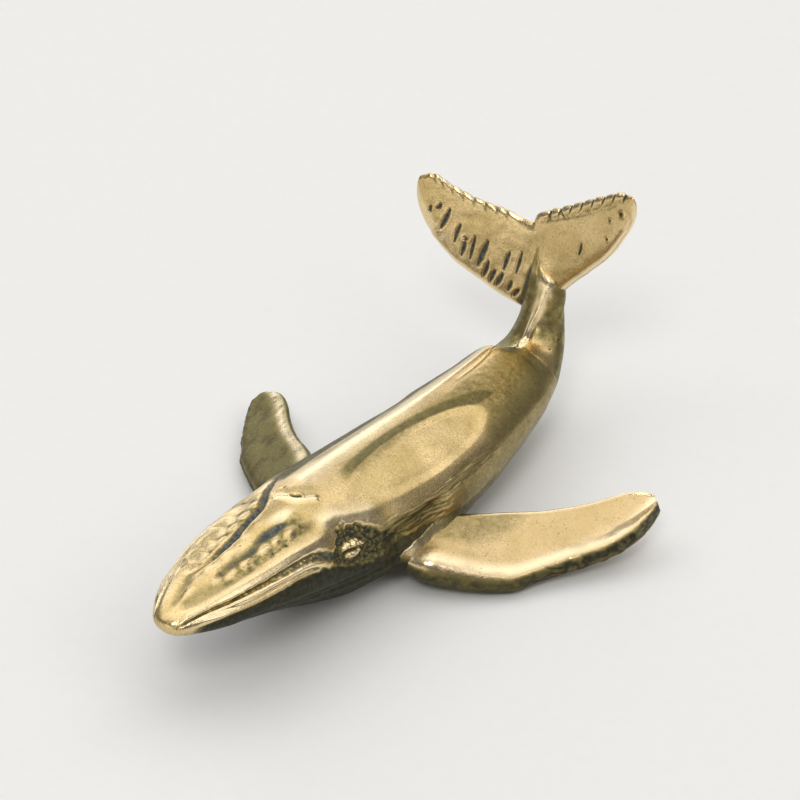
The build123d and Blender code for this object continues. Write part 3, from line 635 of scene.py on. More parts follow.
    # engraved outlines between the far tubercles
    plates = smooth(4.2, 5.4, S) * (1 - smooth(14.0, 15.4, S)) * np.broadcast_to(
        (smooth(103, 107, K.deg) * (1 - smooth(139, 150, K.deg)))[None, :], S.shape)
    H -= plates * 0.03 * (1 - np.clip(rows * 3, 0, 1))
    dark = np.maximum(dark, 0.60 * plates * (1 - np.clip(rows * 3.4, 0, 1)) * (0.9 + 0.4 * grain))
    near = smooth(4.4, 5.6, S) * (1 - smooth(13.8, 15.4, S)) * np.broadcast_to(
        (smooth(52, 58, K.deg) * (1 - smooth(76, 80, K.deg)))[None, :], S.shape)
    dark = np.maximum(dark, 0.52 * near * (1 - np.clip(rows * 1.5, 0, 1)) * (0.9 + 0.4 * grain))
    for s0, ang, r in ((11.6, 57, .16), (10.2, 59.5, .15), (17.3, 69.0, .10), (11.9, 60.5, .1), (9.0, 88, .08)):
        m = K.bump(s0, ang, r * 1.3, r, flat=0.1)
        H -= 0.10 * m
        dark = np.maximum(dark, 0.9 * m)
    # splash guard and nostrils
    H += 0.20 * K.bump(16.8, 94, 1.7, 1.7, flat=0.0)
    guard = [(14.7, 102.5), (15.25, 98), (15.45, 93), (15.6, 86), (16.3, 78), (16.9, 74.5), (17.7, 69)]
    d, t, sd = K.line(guard)
    ends = smooth(0, .1, t) * (1 - smooth(.85, 1, t))
    H += ends * 0.11 * np.exp(-(d / 0.30) ** 2)
    shine = np.maximum(shine, ends * np.exp(-(d / 0.35) ** 2))
    for slit, r in (([(16.1, 104), (16.3, 102.2), (16.5, 100.8)], 0.12), ([(16.0, 87.0), (16.12, 85.2), (16.28, 83.6)], 0.22)):
        d, t, sd = K.line(slit)
        H -= 0.26 * np.exp(-(d / r) ** 2.4)
        H += 0.05 * np.exp(-((d - r - 0.14) / 0.11) ** 2)
        dark = np.maximum(dark, np.exp(-(d / (r * 1.05)) ** 3))
    # back: broad ridge with a painted highlight, engraved line beside the fin hump, painted shade over the far flank
    d, t, sd = K.line(BACK_RIDGE)
    ends = smooth(0, .06, t) * (1 - smooth(.96, 1, t))
    H += ends * 0.08 * np.exp(-(d / 0.80) ** 2)
    shine = np.maximum(shine, ends * np.exp(-(d / 1.15) ** 2))
    d, t, sd = K.line([(38.2, 78), (40.5, 77), (43, 78), (44.9, 83)])
    H -= smooth(0, .2, t) * 0.07 * np.exp(-(d / 0.10) ** 2)
    dark = np.maximum(dark, 0.85 * smooth(0, .2, t) * np.exp(-(d / 0.09) ** 2))
    beyond = smooth(16.5, 19, S) * np.broadcast_to((smooth(108, 115, K.deg))[None, :], S.shape)
    dark = np.maximum(dark, 0.74 * beyond * (1 + 0.12 * grain))
    # painted shade low on the near flank towards the tail
    low_rear = smooth(27, 33, S) * np.broadcast_to((smooth(-60, -40, K.deg) * (1 - smooth(16, 36, K.deg)))[None, :], S.shape)
    dark = np.maximum(dark, 0.34 * low_rear * (1 + 0.2 * grain))
    # painted shade between the back's ridge and the flank's bright face
    olive = smooth(18.5, 22.5, S) * np.broadcast_to((smooth(60, 70, K.deg) * (1 - smooth(82, 90, K.deg)))[None, :], S.shape)
    dark = np.maximum(dark, 0.40 * olive * (1 + 0.18 * grain) * (1 - 0.9 * np.clip(shine, 0, 1)))
    # pebbled patch near the fin hump, dimples in the notch
    patch = smooth(36, 38.5, S) * (1 - smooth(43.5, 45.5, S)) * np.broadcast_to(
        (smooth(30, 44, K.deg) * (1 - smooth(68, 74, K.deg)))[None, :], S.shape)
    H += patch * 0.032 * noise(P, 2.6, 71)
    for s0, ang, r in ((45.9, 72, .20), (46.3, 83, .22), (46.6, 94, .20), (46.6, 64, .15), (46.9, 76, .24),
                       (45.9, 103, .18), (46.7, 110, .18)):
        m = K.bump(s0, ang, r, r, flat=0.1)
        H -= 0.12 * m
        dark = np.maximum(dark, m)
    dark = np.maximum(dark, 0.62 * smooth(45.4, 46.2, S) * np.broadcast_to(
        (smooth(68, 76, K.deg) * (1 - smooth(98, 112, K.deg)))[None, :], S.shape) * (1 + 0.2 * grain))
    # throat and belly pleats
    for k, ang in ((0.0, -75), (0.4, -67.5), (0.8, -60), (1.2, -51), (1.6, -42), (2.0, -33), (2.4, -24), (3.2, -15)):
        main = ang in (-75, -60, -42, -24)
        for far in (False, True):
            d, t, sd = K.line([(3.0 + k, ang), (6.5 + k, ang), (12, ang), (17, ang), (22, ang), (26.5 - k, ang),
                               (29.5 - k, ang)], far, n=4)
            depth = np.interp(t, [0, 0.13, 0.35, 0.75, 0.9, 1], [0, .18, .26, .24, .14, 0]) * (1.0 if main else 0.5)
            d = d + 0.05 * noise(P, 0.8, 81)
            H -= depth * np.exp(-(d / 0.24) ** 2)
            dark = np.maximum(dark, (0.95 if main else 0.6) * np.clip(depth * 5, 0, 1) * np.exp(-(d / 0.26) ** 2))
    # nose: faint crease from the rim to the mouth
    d, t, sd = K.line([(2.0, 58), (1.1, 54), (0.6, 44), (0.45, 30)])
    H -= 0.04 * np.exp(-(d / 0.16) ** 2)
    H -= 0.08 * K.bump(45.0, 87, 1.0, 0.55, flat=0.0)
    return H, dark, shine, oxide


def build_trunk():
    s = spread([0.0, 1.0, 20.5, 23.0, 47.3], [0.06, 0.10, 0.10, 0.19, 0.20])
    dens = lambda a: 1.0 + 1.25 * np.exp(-((((a - 55) + 180) % 360 - 180) / 62.0) ** 4)
    fine = np.arange(0, 360, 0.25)
    cum = np.concatenate([[0], np.cumsum(dens(fine))])
    deg = np.interp(np.linspace(0, cum[-1], 285)[:-1], cum, np.append(fine, 360.0))
    deg = np.where(deg > 270, deg - 360, deg)
    deg = np.sort(deg)
    K = Skin(s, deg)
    H, dark, shine, oxide = head_features(K)
    # the very tip of the nose stays smooth
    H *= smooth(0.0, 0.7, s)[:, None]
    P = K.P + K.N * H[..., None]
    P[..., 2] = np.maximum(P[..., 2], 0.0)
    flat = (P[..., 2] <= 1e-6) * 1.0
    return make_piece("whale_body", P, {"patina_and_shade": dark * (1 - 0.6 * flat), "polish_and_highlight": shine, "oxide": oxide}), K


def build_stock():
    s = spread([46.4, 48.0, 59.4], [0.10, 0.10, 0.09])
    deg = np.linspace(-90, 270, 241)[:-1]
    K = Skin(s, deg)
    P, S, A = K.P, K.S, K.A
    H = 0.03 * fbm(P, 0.5, 2, 90)
    dark = np.zeros(A.shape)
    shine = np.zeros(A.shape)
    # keel: raised line with a painted highlight; the flanks either side darkened as tarnish and painted shade
    keel = [(47.4, 84), (49.0, 84), (50.6, 83), (51.8, 80), (53.2, 70), (54.2, 62), (55.6, 53), (57.2, 55), (59.2, 62)]
    d, t, sd = K.line(keel)
    H += 0.27 * np.exp(-(d / 0.35) ** 2) * smooth(0.02, 0.12, t) * (1 - smooth(55.8, 57.6, S))
    signed = d * -sd                                   # + on the far side of the keel
    H -= 0.24 * np.exp(-((signed - 0.85) / 0.45) ** 2) * smooth(0.05, 0.25, t)
    shine = np.maximum(shine, np.exp(-((signed + 0.05) / 0.46) ** 2))
    dark = np.maximum(dark, 0.46 * np.exp(-((signed - 1.0) / 0.6) ** 2) * smooth(0.1, 0.3, t))
    dark = np.maximum(dark, 0.42 * smooth(0.25, 0.8, -signed) * (1 - smooth(57.0, 58.5, S)))
    warm = (1 - smooth(48.8, 51.2, S)) * np.broadcast_to((smooth(5, 28, K.deg) * (1 - smooth(70, 82, K.deg)))[None, :], S.shape)
    dark = dark * (1 - 0.55 * warm)
    shoulder = smooth(52.0, 54.0, S) * (1 - smooth(56.5, 58.5, S)) * np.broadcast_to(
        (smooth(-20, 10, K.deg) * (1 - smooth(40, 62, K.deg)))[None, :], S.shape)
    H += 0.25 * shoulder
    # wide where the near lobe grows out of it, run out into the plate above
    H += 0.46 * smooth(53.0, 55.3, S) * (1 - smooth(56.0, 57.6, S)) * np.broadcast_to(
        (smooth(-50, -20, K.deg) * (1 - smooth(30, 52, K.deg)))[None, :], S.shape)
    H -= 0.95 * smooth(56.0, 58.6, S) * (1 - 0.5 * np.exp(-(d / 0.45) ** 2)) * np.broadcast_to(
        (smooth(10, 30, K.deg) * (1 - smooth(120, 140, K.deg)))[None, :], S.shape)
    H += 0.05 * np.exp(-(((K.deg + 90 + 180) % 360 - 180) / 16.0) ** 2)[None, :]
    for s0, ang, r, h in ((47.9, 88, .24, .12), (48.5, 99, .18, .10), (48.3, 74, .18, .09), (48.9, 110, .16, .08),
                          (50.9, 12, .24, .07), (49.6, 30, .16, .05)):
        m = K.bump(s0, ang, r, r * 0.8, flat=0.1)
        H -= h * m
        dark = np.maximum(dark, 0.95 * m)
    shine *= 1 - smooth(56.0, 57.2, S)
    notch = np.broadcast_to((smooth(62, 72, K.deg) * (1 - smooth(100, 115, K.deg)))[None, :], S.shape)
    dark = np.maximum(dark, notch * 0.7 * (1 - smooth(0.0, 1.1, S - 47.0)) * (0.8 + 0.6 * noise(P, 1.5, 92)))
    # away from the keel: tarnish and painted shade
    dark = np.maximum(dark, 0.56 * (1 + 0.2 * noise(P, 1.7, 94)) * (1 - np.exp(-(d / 0.5) ** 2)) * (1 - 0.75 * warm)
                      * (1 - 0.6 * smooth(56.0, 58.0, S)))
    dark = np.maximum(dark, 0.28 * smooth(0.1, 0.9, noise(P, 0.6, 93)))
    H -= 0.40 * (1 - smooth(46.4, 47.3, S))
    P = K.P + K.N * H[..., None]
    return make_piece("tail_stem", P, {"patina_and_shade": dark, "polish_and_highlight": shine, "oxide": 0 * dark})


GOUGES = [((-7.44, 6.64), (-8.42, 4.87), .20), ((-6.56, 5.29), (-7.23, 3.69), .18), ((-6.19, 3.99), (-6.66, 2.48), .19),
          ((-5.26, 4.31), (-5.88, 2.16), .17), ((-4.12, 3.93), (-5.21, 1.65), .26), ((-4.12, 2.12), (-4.74, 0.62), .20),
          ((-3.5, 1.33), (-4.17, 0.13), .19), ((-2.82, 1.12), (-3.6, -0.09), .22), ((-2.1, 3.13), (-2.77, 1.52), .20),
          ((-0.96, 3.28), (-1.63, 1.26), .15), ((-2.0, 0.46), (-2.51, -0.44), .21), ((-1.32, -0.18), (-1.94, -0.91), .20),
          ((-8.2, 7.1), (-8.63, 6.65), .15), ((-9.08, 6.9), (-9.22, 6.36), .13), ((4.95, 5.0), (4.62, 3.9), .15)]
BACK_GOUGES = [((7.4, 6.9), (8.1, 5.1), .16), ((6.3, 5.6), (6.9, 3.9), .18), ((5.0, 4.4), (5.6, 2.4), .2),
               ((3.9, 3.2), (4.4, 1.6), .18), ((2.8, 2.4), (3.3, 0.6), .2), ((-5.2, 4.9), (-5.7, 2.9), .18),
               ((-3.9, 3.6), (-4.3, 1.6), .2), ((-6.6, 5.9), (-7.2, 4.2), .16), ((-2.6, 2.2), (-3.0, 0.7), .18)]


def build_fluke():
    k = np.linspace(-1, 1, 310)
    b = 10.38 * np.sign(k) * (1 - (1 - np.abs(k)) ** 1.25)
    v = np.linspace(0, 1, 241)[:-1]
    P, n, q, u, w, sg, lead, trail, thick = fluke_surface(b, v)
    over = np.clip((np.abs(b) - 9.0) / 1.382, 0, 0.9995)
    shrink = (1 - over ** 2) ** 0.5
    chord = np.abs(trail - lead)
    start = np.where(b > 0, np.interp(9.0, b, chord), np.interp(-9.0, b, chord))
    stretch = np.where(over > 0, shrink * start * (1 - 0.13 * smooth(0.0, 0.45, over)) / np.maximum(chord, 0.05), 1.0)
    mid = P.mean(1, keepdims=True)
    off = P - mid
    along = (off @ FLUKE_AXIS)[..., None] * FLUKE_AXIS
    P = mid + along * stretch[:, None, None] + (off - along) * shrink[:, None, None]
    N = normals_of(P)
    if np.sum(N * n[:, None] * sg[None, :, None]) < 0:
        N = -N
    B = np.broadcast_to(b[:, None], q.shape)
    front = np.broadcast_to(sg[None, :] > 0, q.shape)
    fr = np.where(front, 1.0, 0.0)
    H = 0.05 * fbm(P, 0.42, 2, 100) + 0.012 * noise(P, 1.6, 103)
    dark = np.zeros(q.shape)
    shine = np.zeros(q.shape)
    oxide = np.zeros(q.shape)
    grain = fbm(P, 2.2, 3, 105)
    for rows, mask in ((GOUGES, fr), (BACK_GOUGES, 1 - fr)):
        for k, (p0, p1, r) in enumerate(rows):
            bend = 0.06 * math.sin(3.7 * k + 1)
            mid = ((p0[0] + p1[0]) / 2 + bend, (p0[1] + p1[1]) / 2)
            d, t, sd = line_distance(B, q, rounded([p0, mid, p1], 5))
            r = r * (0.25 + 0.75 * np.sin(np.pi * np.clip(t * 0.94 + 0.03, 0, 1)) ** 0.8)
            m = np.exp(-(d / r) ** 2.4)
            H -= mask * 0.15 * m
            oxide = np.maximum(oxide, m)
            H += mask * 0.025 * np.exp(-((d - r - 0.12) / 0.12) ** 2) * np.sin(np.pi * np.clip(t, 0, 1))
            dark = np.maximum(dark, mask * 0.96 * np.exp(-(d / (r * 0.98)) ** 2.8))
    # pits; the largest, on the right lobe, with a painted highlight round its rim
    for b0, q0, r, h in ((-6.14, 4.04, .24, .16), (7.54, 5.9, .15, .1), (7.85, 7.63, .13, .08), (8.99, 8.41, .26, .08),
                         (-0.4, 1.4, .10, .06)):
        d = np.hypot(B - b0, q - q0)
        H -= fr * h * np.exp(-(d / r) ** 2)
        H += fr * (0.08 if b0 < -1 else 0.05) * np.exp(-((d - 1.4 * r) / 0.08) ** 2)
        dark = np.maximum(dark, fr * (0.8 if b0 > 0 else 0.0) * np.exp(-(d / r) ** 3))
        if b0 < -1:
            shine = np.maximum(shine, fr * np.exp(-((d - 1.3 * r) / 0.10) ** 2))
    # rolled leading rim with a painted highlight along it and over the right lobe's tip, and trailing edge with slanted
    # beads
    from_lead = q - lead[:, None]
    from_trail = trail[:, None] - q
    H -= fr * 0.10 * np.exp(-(from_lead / 0.60) ** 2)
    shine = np.maximum(shine, np.exp(-(from_lead / 1.0) ** 2))
    shine = np.maximum(shine, fr * 0.8 * smooth(-7.2, -8.6, B) * (1 - smooth(1.6, 2.6, from_lead)))
    slant = B + 0.35 * from_trail * np.sign(B)
    for centre, half, strength in (((1.25, 2.25, 3.35, 4.45, 5.55, 6.65, 7.75, 8.85), 0.50, 1.0),
                                   ((-2.0, -2.95, -3.95, -4.95, -5.9, -6.8, -7.6, -8.3), 0.44, 0.5)):
        for c0 in centre:
            m = np.exp(-np.abs((slant - c0) / half) ** 3) * np.exp(-(from_trail / 0.50) ** 3)
            H += strength * np.where(front, 0.11, 0.05) * m
            shine = np.maximum(shine, 0.55 * m)
            gap = np.exp(-((slant - c0 - half * 1.12 * np.sign(c0)) / 0.12) ** 2) * np.exp(-(from_trail / 0.75) ** 3)
            H -= strength * 0.11 * gap
            dark = np.maximum(dark, strength * gap)
    d, t, sd = line_distance(B, q, rounded([(0.9, 6.45), (2.2, 6.75), (3.6, 7.15), (5.2, 7.75), (6.8, 8.4), (8.4, 9.1)], 4))
    H -= fr * 0.05 * np.exp(-(d / 0.20) ** 2)
    dark = np.maximum(dark, fr * 0.35 * np.exp(-(d / 0.22) ** 2) * (0.5 + grain))
    for pts, r, h in (([(1.84, 7.2), (1.8, 6.75)], .10, .12), ([(2.72, 7.66), (3.14, 7.1)], .10, .12),
                      ([(0.15, 5.9), (0.55, 5.2), (0.7, 4.3)], .16, .05)):
        d, t, sd = line_distance(B, q, pts)
        H -= fr * h * np.exp(-(d / r) ** 2)
        dark = np.maximum(dark, fr * 0.8 * np.exp(-(d / r) ** 2) * (h > 0.1))
    # crevice beside the keel
    d, t, sd = line_distance(B, q, rounded([(-1.45, -2.0), (-0.95, -0.8), (-0.45, 0.8), (0.0, 1.9), (0.35, 2.6)], 5))
    H -= fr * 0.10 * np.exp(-(d / 0.26) ** 2)
    dark = np.maximum(dark, fr * 1.0 * np.exp(-(d / 0.30) ** 2) * (1 - 0.6 * smooth(0.8, 1, t)))
    oxide = np.maximum(oxide, np.exp(-(d / 0.5) ** 2))
    d, t, sd = line_distance(B, q, rounded([(1.05, 0.9), (0.95, 2.2), (0.75, 3.4), (0.5, 4.6)], 5))
    # the stem's near side flows into this lobe
    H += fr * 0.34 * np.exp(-((B - 0.9) / 0.8) ** 2) * (1 - smooth(0.2, 4.2, q))
    dark = np.maximum(dark, 0.20 * smooth(0.05, 0.9, noise(P, 0.55, 110)) * fr)
    H *= (1 - 0.85 * smooth(0.9, 1.0, np.abs(u))[None, :] * smooth(9.2, 9.7, np.abs(B))) * (1 - 0.92 * smooth(9.7, 10.3, np.abs(B)))
    P = P + N * H[..., None]
    return make_piece("tail_flukes", P, {"patina_and_shade": dark, "polish_and_highlight": shine, "oxide": oxide})


def fin_points(table, t, v):
    """the fin's skin, run straight on into the body where t is below 0"""
    t = np.asarray(t, float)
    P, x, y, z, u, w, sg, half, thick = fin_surface(table, np.maximum(t, 0), v)
    root = fin_surface(table, np.array([0.0, 0.35]), v)[0]
    step = (root[1].mean(0) - root[0].mean(0)) / 0.35
    return P + np.minimum(t, 0)[:, None, None] * step, x, y, z, u, w, sg, half, thick


def build_fin(name, table, left):
    t = np.concatenate([np.linspace(-0.7, -0.04, 17), np.linspace(0.0, 7.0, 300)])
    v = np.linspace(0, 1, 261)[:-1]
    P, x, y, z, u, w, sg, half, thick = fin_points(table, t, v)
    N = normals_of(P)
    if np.sum(N * y[:, None] * sg[None, :, None]) < 0:
        N = -N
    T = np.broadcast_to(t[:, None], P.shape[:2])
    U = np.broadcast_to(u[None, :], T.shape)
    up = np.broadcast_to(np.where(sg > 0, 1.0, 0.0)[None, :], T.shape)
    c = U * half[:, None]                                  # mm from mid chord, + towards the leading edge
    from_lead = half[:, None] - c
    from_trail = half[:, None] + c
    run = np.concatenate([[0], np.cumsum(np.linalg.norm(np.diff(P.mean(1), axis=0), axis=-1))])
    run = run - run[17]
    L = np.broadcast_to(run[:, None], T.shape)
    seed = 120 if left else 150
    grain = fbm(P, 2.0, 3, seed)
    H = 0.05 * fbm(P, 0.38, 2, seed + 3)
    dark = np.zeros(T.shape)
    shine = np.zeros(T.shape)
    tip = smooth(6.2, 7.0, T)
    if left:
        # raised crest along the front of the top face with a painted highlight, hollow behind it
        H += up * 0.36 * smooth(0.25, 1.0, U) * smooth(0.2, 1.0, T) * (1 - 0.6 * tip)
        H += up * 0.46 * smooth(0.25, 0.95, T) * (1 - smooth(1.0, 2.6, T)) * smooth(-0.5, 0.6, U)
        H -= up * 0.05 * np.exp(-((U + 0.05) / 0.60) ** 4) * smooth(0.6, 2.0, T) * (1 - tip)
        shine = np.maximum(shine, up * np.exp(-((from_lead - 0.95) / 0.60) ** 2))
        # thin raised rim along the trailing edge and round the tip, with a painted highlight on it and painted shade
        # just inside it
        edge = np.minimum(from_trail, 0.42 + (run[-1] - L) * 0.9)
        rimline = np.exp(-((edge - 0.24) / 0.13) ** 2) * smooth(0.5, 1.6, T)
        H += up * 0.09 * rimline
        dark = np.maximum(dark, up * 0.16 * np.exp(-((edge - 0.62) / 0.22) ** 2) * smooth(0.8, 2.2, T))
        shine = np.maximum(shine, up * rimline)
        dark = np.maximum(dark, up * 0.55 * np.exp(-((edge - 0.52) / 0.09) ** 2) * smooth(5.6, 6.4, T))
        # thick front side: deeper than the plate, with a wandering ridge and crinkles towards the tip, darkened as
        # painted shade
        low = (1 - up) * smooth(0.25, 0.95, U)
        H += low * 0.36 * smooth(0.2, 1.0, T) * (1 - 0.6 * tip)
        side = np.clip(np.exp(-(from_lead / np.interp(T, [0, 1.2, 5, 7], [0.15, 0.42, 0.42, 0.3])) ** 4)
                       + (1 - up) * smooth(0.35, 0.62, U), 0, 1)
        outer = smooth(2.1, 3.2, T) * (1 - 0.4 * tip)
        crink = 1 - np.clip(np.abs(fbm(plane_points(L * 0.75, P[..., 2] * 1.9, 0.3), 1.0, 2, 127)) * 2.6, 0, 1)
        H -= side * (0.02 + 0.05 * outer) * crink
        shine = shine * (1 - side)
        dark = np.maximum(dark, side * (0.70 + 0.24 * crink * (0.4 + 0.6 * outer)))
        # knuckle at the bend and the smaller ones beyond it
        for l0, r, h in ((8.9, 0.85, 0.20), (12.3, .6, .06), (13.9, .7, .09), (15.6, .5, .05), (16.8, .7, .10),
                         (18.6, .6, .07), (20.1, .6, .08)):
            m = np.exp(-((L - l0) / r) ** 2) * np.exp(-(from_lead / 0.7) ** 2)
            H += h * m
        # wandering ridge on the front side, which carries painted shade
        d = np.abs(U - 0.93 + 0.03 * noise(plane_points(L, 0, 0), 0.8, 129))
        seam = (1 - up) * np.exp(-(d / 0.022) ** 2) * smooth(0.3, 1.0, T)
        H += 0.07 * seam
        dark = dark * (1 - 0.5 * seam)
        # root: rough, dark towards the body behind, bright in front
        rootz = 1 - smooth(0.9, 1.7, T)
        H += rootz * 0.008 * grain
        dark = np.maximum(dark, (1 - smooth(1.2, 2.6, T + 0.9 * U)) * smooth(0.35, -0.2, U) * 0.40 * (0.95 + 0.15 * grain))
        # painted shade over the lower face
        dark = np.maximum(dark, 0.22 * (1 - up) * (0.8 + 0.6 * grain))
        dark = np.maximum(dark, 0.45 * np.exp(-((run[-1] - L) / 0.45) ** 2))
        dark = np.maximum(dark, up * 0.22 * np.exp(-((T - 3.25) / 0.35) ** 2 - ((U - 0.28) / 0.3) ** 2))
    else:
        # far fin: painted highlight along the top near the trailing edge, the rest darkened as painted shade
        H += up * 0.03 * np.exp(-((from_trail - 0.7) / 0.4) ** 2)
        shine = np.maximum(shine, up * np.exp(-((from_trail - 0.9) / 0.5) ** 2) * smooth(1.5, 3, T))
        ham = plane_points(L * 0.55 + c * 0.75, (c - L) * 0.16, 0.0)
        lines = fbm(ham, 1.6, 2, seed + 9)
        H += up * 0.020 * lines + (1 - up) * 0.02 * lines
        dark = np.maximum(dark, 0.09 * smooth(0.0, 0.7, -lines) + 0.62)
        dark = dark * (1 - 0.8 * up * np.exp(-((from_trail - 0.95) / 0.6) ** 2) * smooth(1.5, 3, T))
        low = (1 - up) * smooth(0.3, 0.95, U)
        H += low * 0.18 * smooth(0.3, 1.0, T)
        side = np.clip(np.exp(-(from_lead / 0.3) ** 2), 0, 1)
        crink = 1 - np.clip(np.abs(fbm(plane_points(L * 1.1, from_lead * 1.3, 2.3), 1.0, 2, 157)) * 2.6, 0, 1)
        H -= side * 0.07 * crink * smooth(1.6, 3.0, T)
        dark = np.maximum(dark, side * 0.5 * crink)
        for l0, r, h in ((7.9, 0.8, .18), (10.3, .5, .12), (11.6, .5, .13), (12.9, .5, .12), (14.1, .5, .13), (15.2, .45, .1)):
            H += h * np.exp(-((L - l0) / r) ** 2) * np.exp(-(from_lead / 0.6) ** 2)
        dark = np.maximum(dark, (1 - smooth(0.8, 1.6, T)) * 0.5 * (0.8 + 0.6 * grain))
    H *= 1 - 0.9 * smooth(6.8, 7.0, T)
    Q = P + N * H[..., None]
    Q[..., 2] = np.maximum(Q[..., 2], 0.22)
    Q[..., 0] = np.clip(Q[..., 0], CAD_LO[0] - 0.05, CAD_HI[0] + 0.05)
    obj = make_piece(name, Q, {"patina_and_shade": dark, "polish_and_highlight": shine, "oxide": 0 * dark})
    return obj


def root_bead(table, K, out=0.62, along=0.55, flare=0.0):
    """concave fillet of braze round a fin's root, closed underneath; flare spreads it forwards over the body"""
    m = 200
    v = np.linspace(0, 1, m + 1)[:-1]
    ts = np.linspace(-0.7, 2.2, 291)
    P, x, y, z, u, w, sg, half, thick = fin_points(table, ts, v)
    val, s = inside_skin(P)
    X = np.zeros((m, 3))
    tt = np.zeros(m)
    for k in range(m):
        ins = np.where(val[:, k] < 0)[0]
        a = ins[-1] if len(ins) else 0
        a = min(a, len(ts) - 2)
        f0, f1 = val[a, k], val[a + 1, k]
        r = np.clip(f0 / (f0 - f1 + 1e-9), 0, 1)
        X[k] = P[a, k] * (1 - r) + P[a + 1, k] * r
        tt[k] = ts[a] + r * (ts[1] - ts[0])
    # the flank is sunk round the root: follow it inwards
    cells = K.P.reshape(-1, 3)
    near = [int(np.argmin(((cells - x) ** 2).sum(-1))) for x in X]
    fold = np.where(K.deg > 90, 180 - K.deg, K.deg)
    sink = root_sink(K.S.reshape(-1)[near], fold[np.array(near) % len(K.deg)])
    eps = 0.02
    nb = np.zeros((m, 3))
    f0 = inside_skin(X)[0]
    for c in range(3):
        e = np.zeros(3)
        e[c] = eps
        nb[:, c] = (inside_skin(X + e)[0] - f0) / eps
    nb = unit(nb)
    tang = unit(np.roll(X, -1, 0) - np.roll(X, 1, 0))
    centre = X.mean(0)
    db = np.cross(tang, nb)
    if np.sum(db * (X - centre)) < 0:
        db = -db
    db = unit(db)
    span = unit(P[-1].mean(0) - P[0].mean(0))
    wav = noise(X, 1.1, 170)[:, None]
    wav2 = noise(X, 1.3, 173)[:, None]
    ahead = np.clip((v_u(v) - 0.35) / 0.65, 0, 1)[:, None] * (v <= 0.5)[:, None]
    behind = np.clip((-v_u(v) - 0.30) / 0.70, 0, 1)[:, None] * (v <= 0.5)[:, None]
    under = np.clip((v_u(v) + 0.1) / 1.0, 0, 1)[:, None] * (v > 0.5)[:, None]
    edge = smooth(0.12, 0.0, v)[:, None]
    reach_b = out * (1 + 0.25 * wav) + flare * (ahead * (1 + 1.6 * edge) + 2.6 * under + 0.8 * behind)
    reach_f = along * (1 + 0.25 * wav2) + flare * (ahead * (0.3 + 1.7 * edge) + 2.0 * under)
    sp = np.linalg.norm(P[1:].mean(1) - P[:-1].mean(1), axis=-1).mean() / (ts[1] - ts[0])
    X = X - nb * sink[:, None]
    tt = np.maximum(tt - 0.8 * sink / sp, -0.7)
    B = X + db * reach_b
    B = B + nb * sink[:, None]
    for _ in range(3):
        g = inside_skin(B)[0][:, None]
        B = B - nb * g * 1.2
    near = [int(np.argmin(((cells - x) ** 2).sum(-1))) for x in B]
    B = B - nb * (root_sink(K.S.reshape(-1)[near], fold[np.array(near) % len(K.deg)]) + 0.04)[:, None]
    ft = np.clip(tt + reach_f[:, 0] / sp, -0.7, 6)
    FA = fin_points(table, ft, v)[0]
    A = FA[np.arange(m), np.arange(m)]
    rows = []
    for k in np.linspace(0, 1, 9):
        ctrl = X + nb * 0.10 + db * (0.10 + flare * (ahead * (0.25 + 0.75 * edge) + 1.0 * under))
        rows.append((1 - k) ** 2 * A + 2 * k * (1 - k) * ctrl + k ** 2 * B)
    G = np.stack(rows, 0)
    G += (0.03 * noise(G, 1.8, 175))[..., None] * nb
    low = np.stack([B - nb * 0.30, X - nb * 0.40 - span * 0.2, A - span * 0.35 - nb * 0.25], 0)
    ring = np.concatenate([G, low], 0)
    ring[..., 2] = np.maximum(ring[..., 2], 0.15)
    return ring, ahead[:, 0], behind[:, 0]


def v_u(v):
    """place across the fin (1 at its leading edge) for v round the section"""
    return plate_round(v)[0]


def ring_piece(name, ring, patina_and_shade, polish_and_highlight=0.0, oxide=0.0):
    """closed torus-like mesh: ring[k, j] k round the small section, j round the fin"""
    nk, nj = ring.shape[:2]
    verts = ring.reshape(-1, 3) * 0.001
    faces = []
    for k in range(nk):
        for j in range(nj):
            a, b = k * nj + j, k * nj + (j + 1) % nj
            c, d = ((k + 1) % nk) * nj + (j + 1) % nj, ((k + 1) % nk) * nj + j
            faces.append((a, b, c, d))
    mesh = bpy.data.meshes.new(name)
    mesh.from_pydata(verts.tolist(), [], faces)
    bm = bmesh.new()
    bm.from_mesh(mesh)
    bmesh.ops.recalc_face_normals(bm, faces=bm.faces)
    if bm.calc_volume(signed=True) < 0:
        bmesh.ops.reverse_faces(bm, faces=bm.faces)
    bm.to_mesh(mesh)
    bm.free()
    attr = mesh.attributes.new("patina_and_shade", "FLOAT", "POINT")
    attr.data.foreach_set("value", np.clip(np.broadcast_to(patina_and_shade, (nk, nj)).reshape(-1), 0, 1).astype(np.float32))
    attr = mesh.attributes.new("polish_and_highlight", "FLOAT", "POINT")
    attr.data.foreach_set("value", np.clip(np.broadcast_to(polish_and_highlight, (nk, nj)).reshape(-1), 0, 1).astype(np.float32))
    attr = mesh.attributes.new("oxide", "FLOAT", "POINT")
    attr.data.foreach_set("value", np.clip(np.broadcast_to(oxide, (nk, nj)).reshape(-1), 0, 1).astype(np.float32))
    mesh.polygons.foreach_set("use_smooth", [True] * len(mesh.polygons))
    mesh.update()
    obj = bpy.data.objects.new(name, mesh)
    bpy.context.scene.collection.objects.link(obj)
    sub = obj.modifiers.new("soften", "SUBSURF")
    sub.levels = sub.render_levels = 1
    return obj


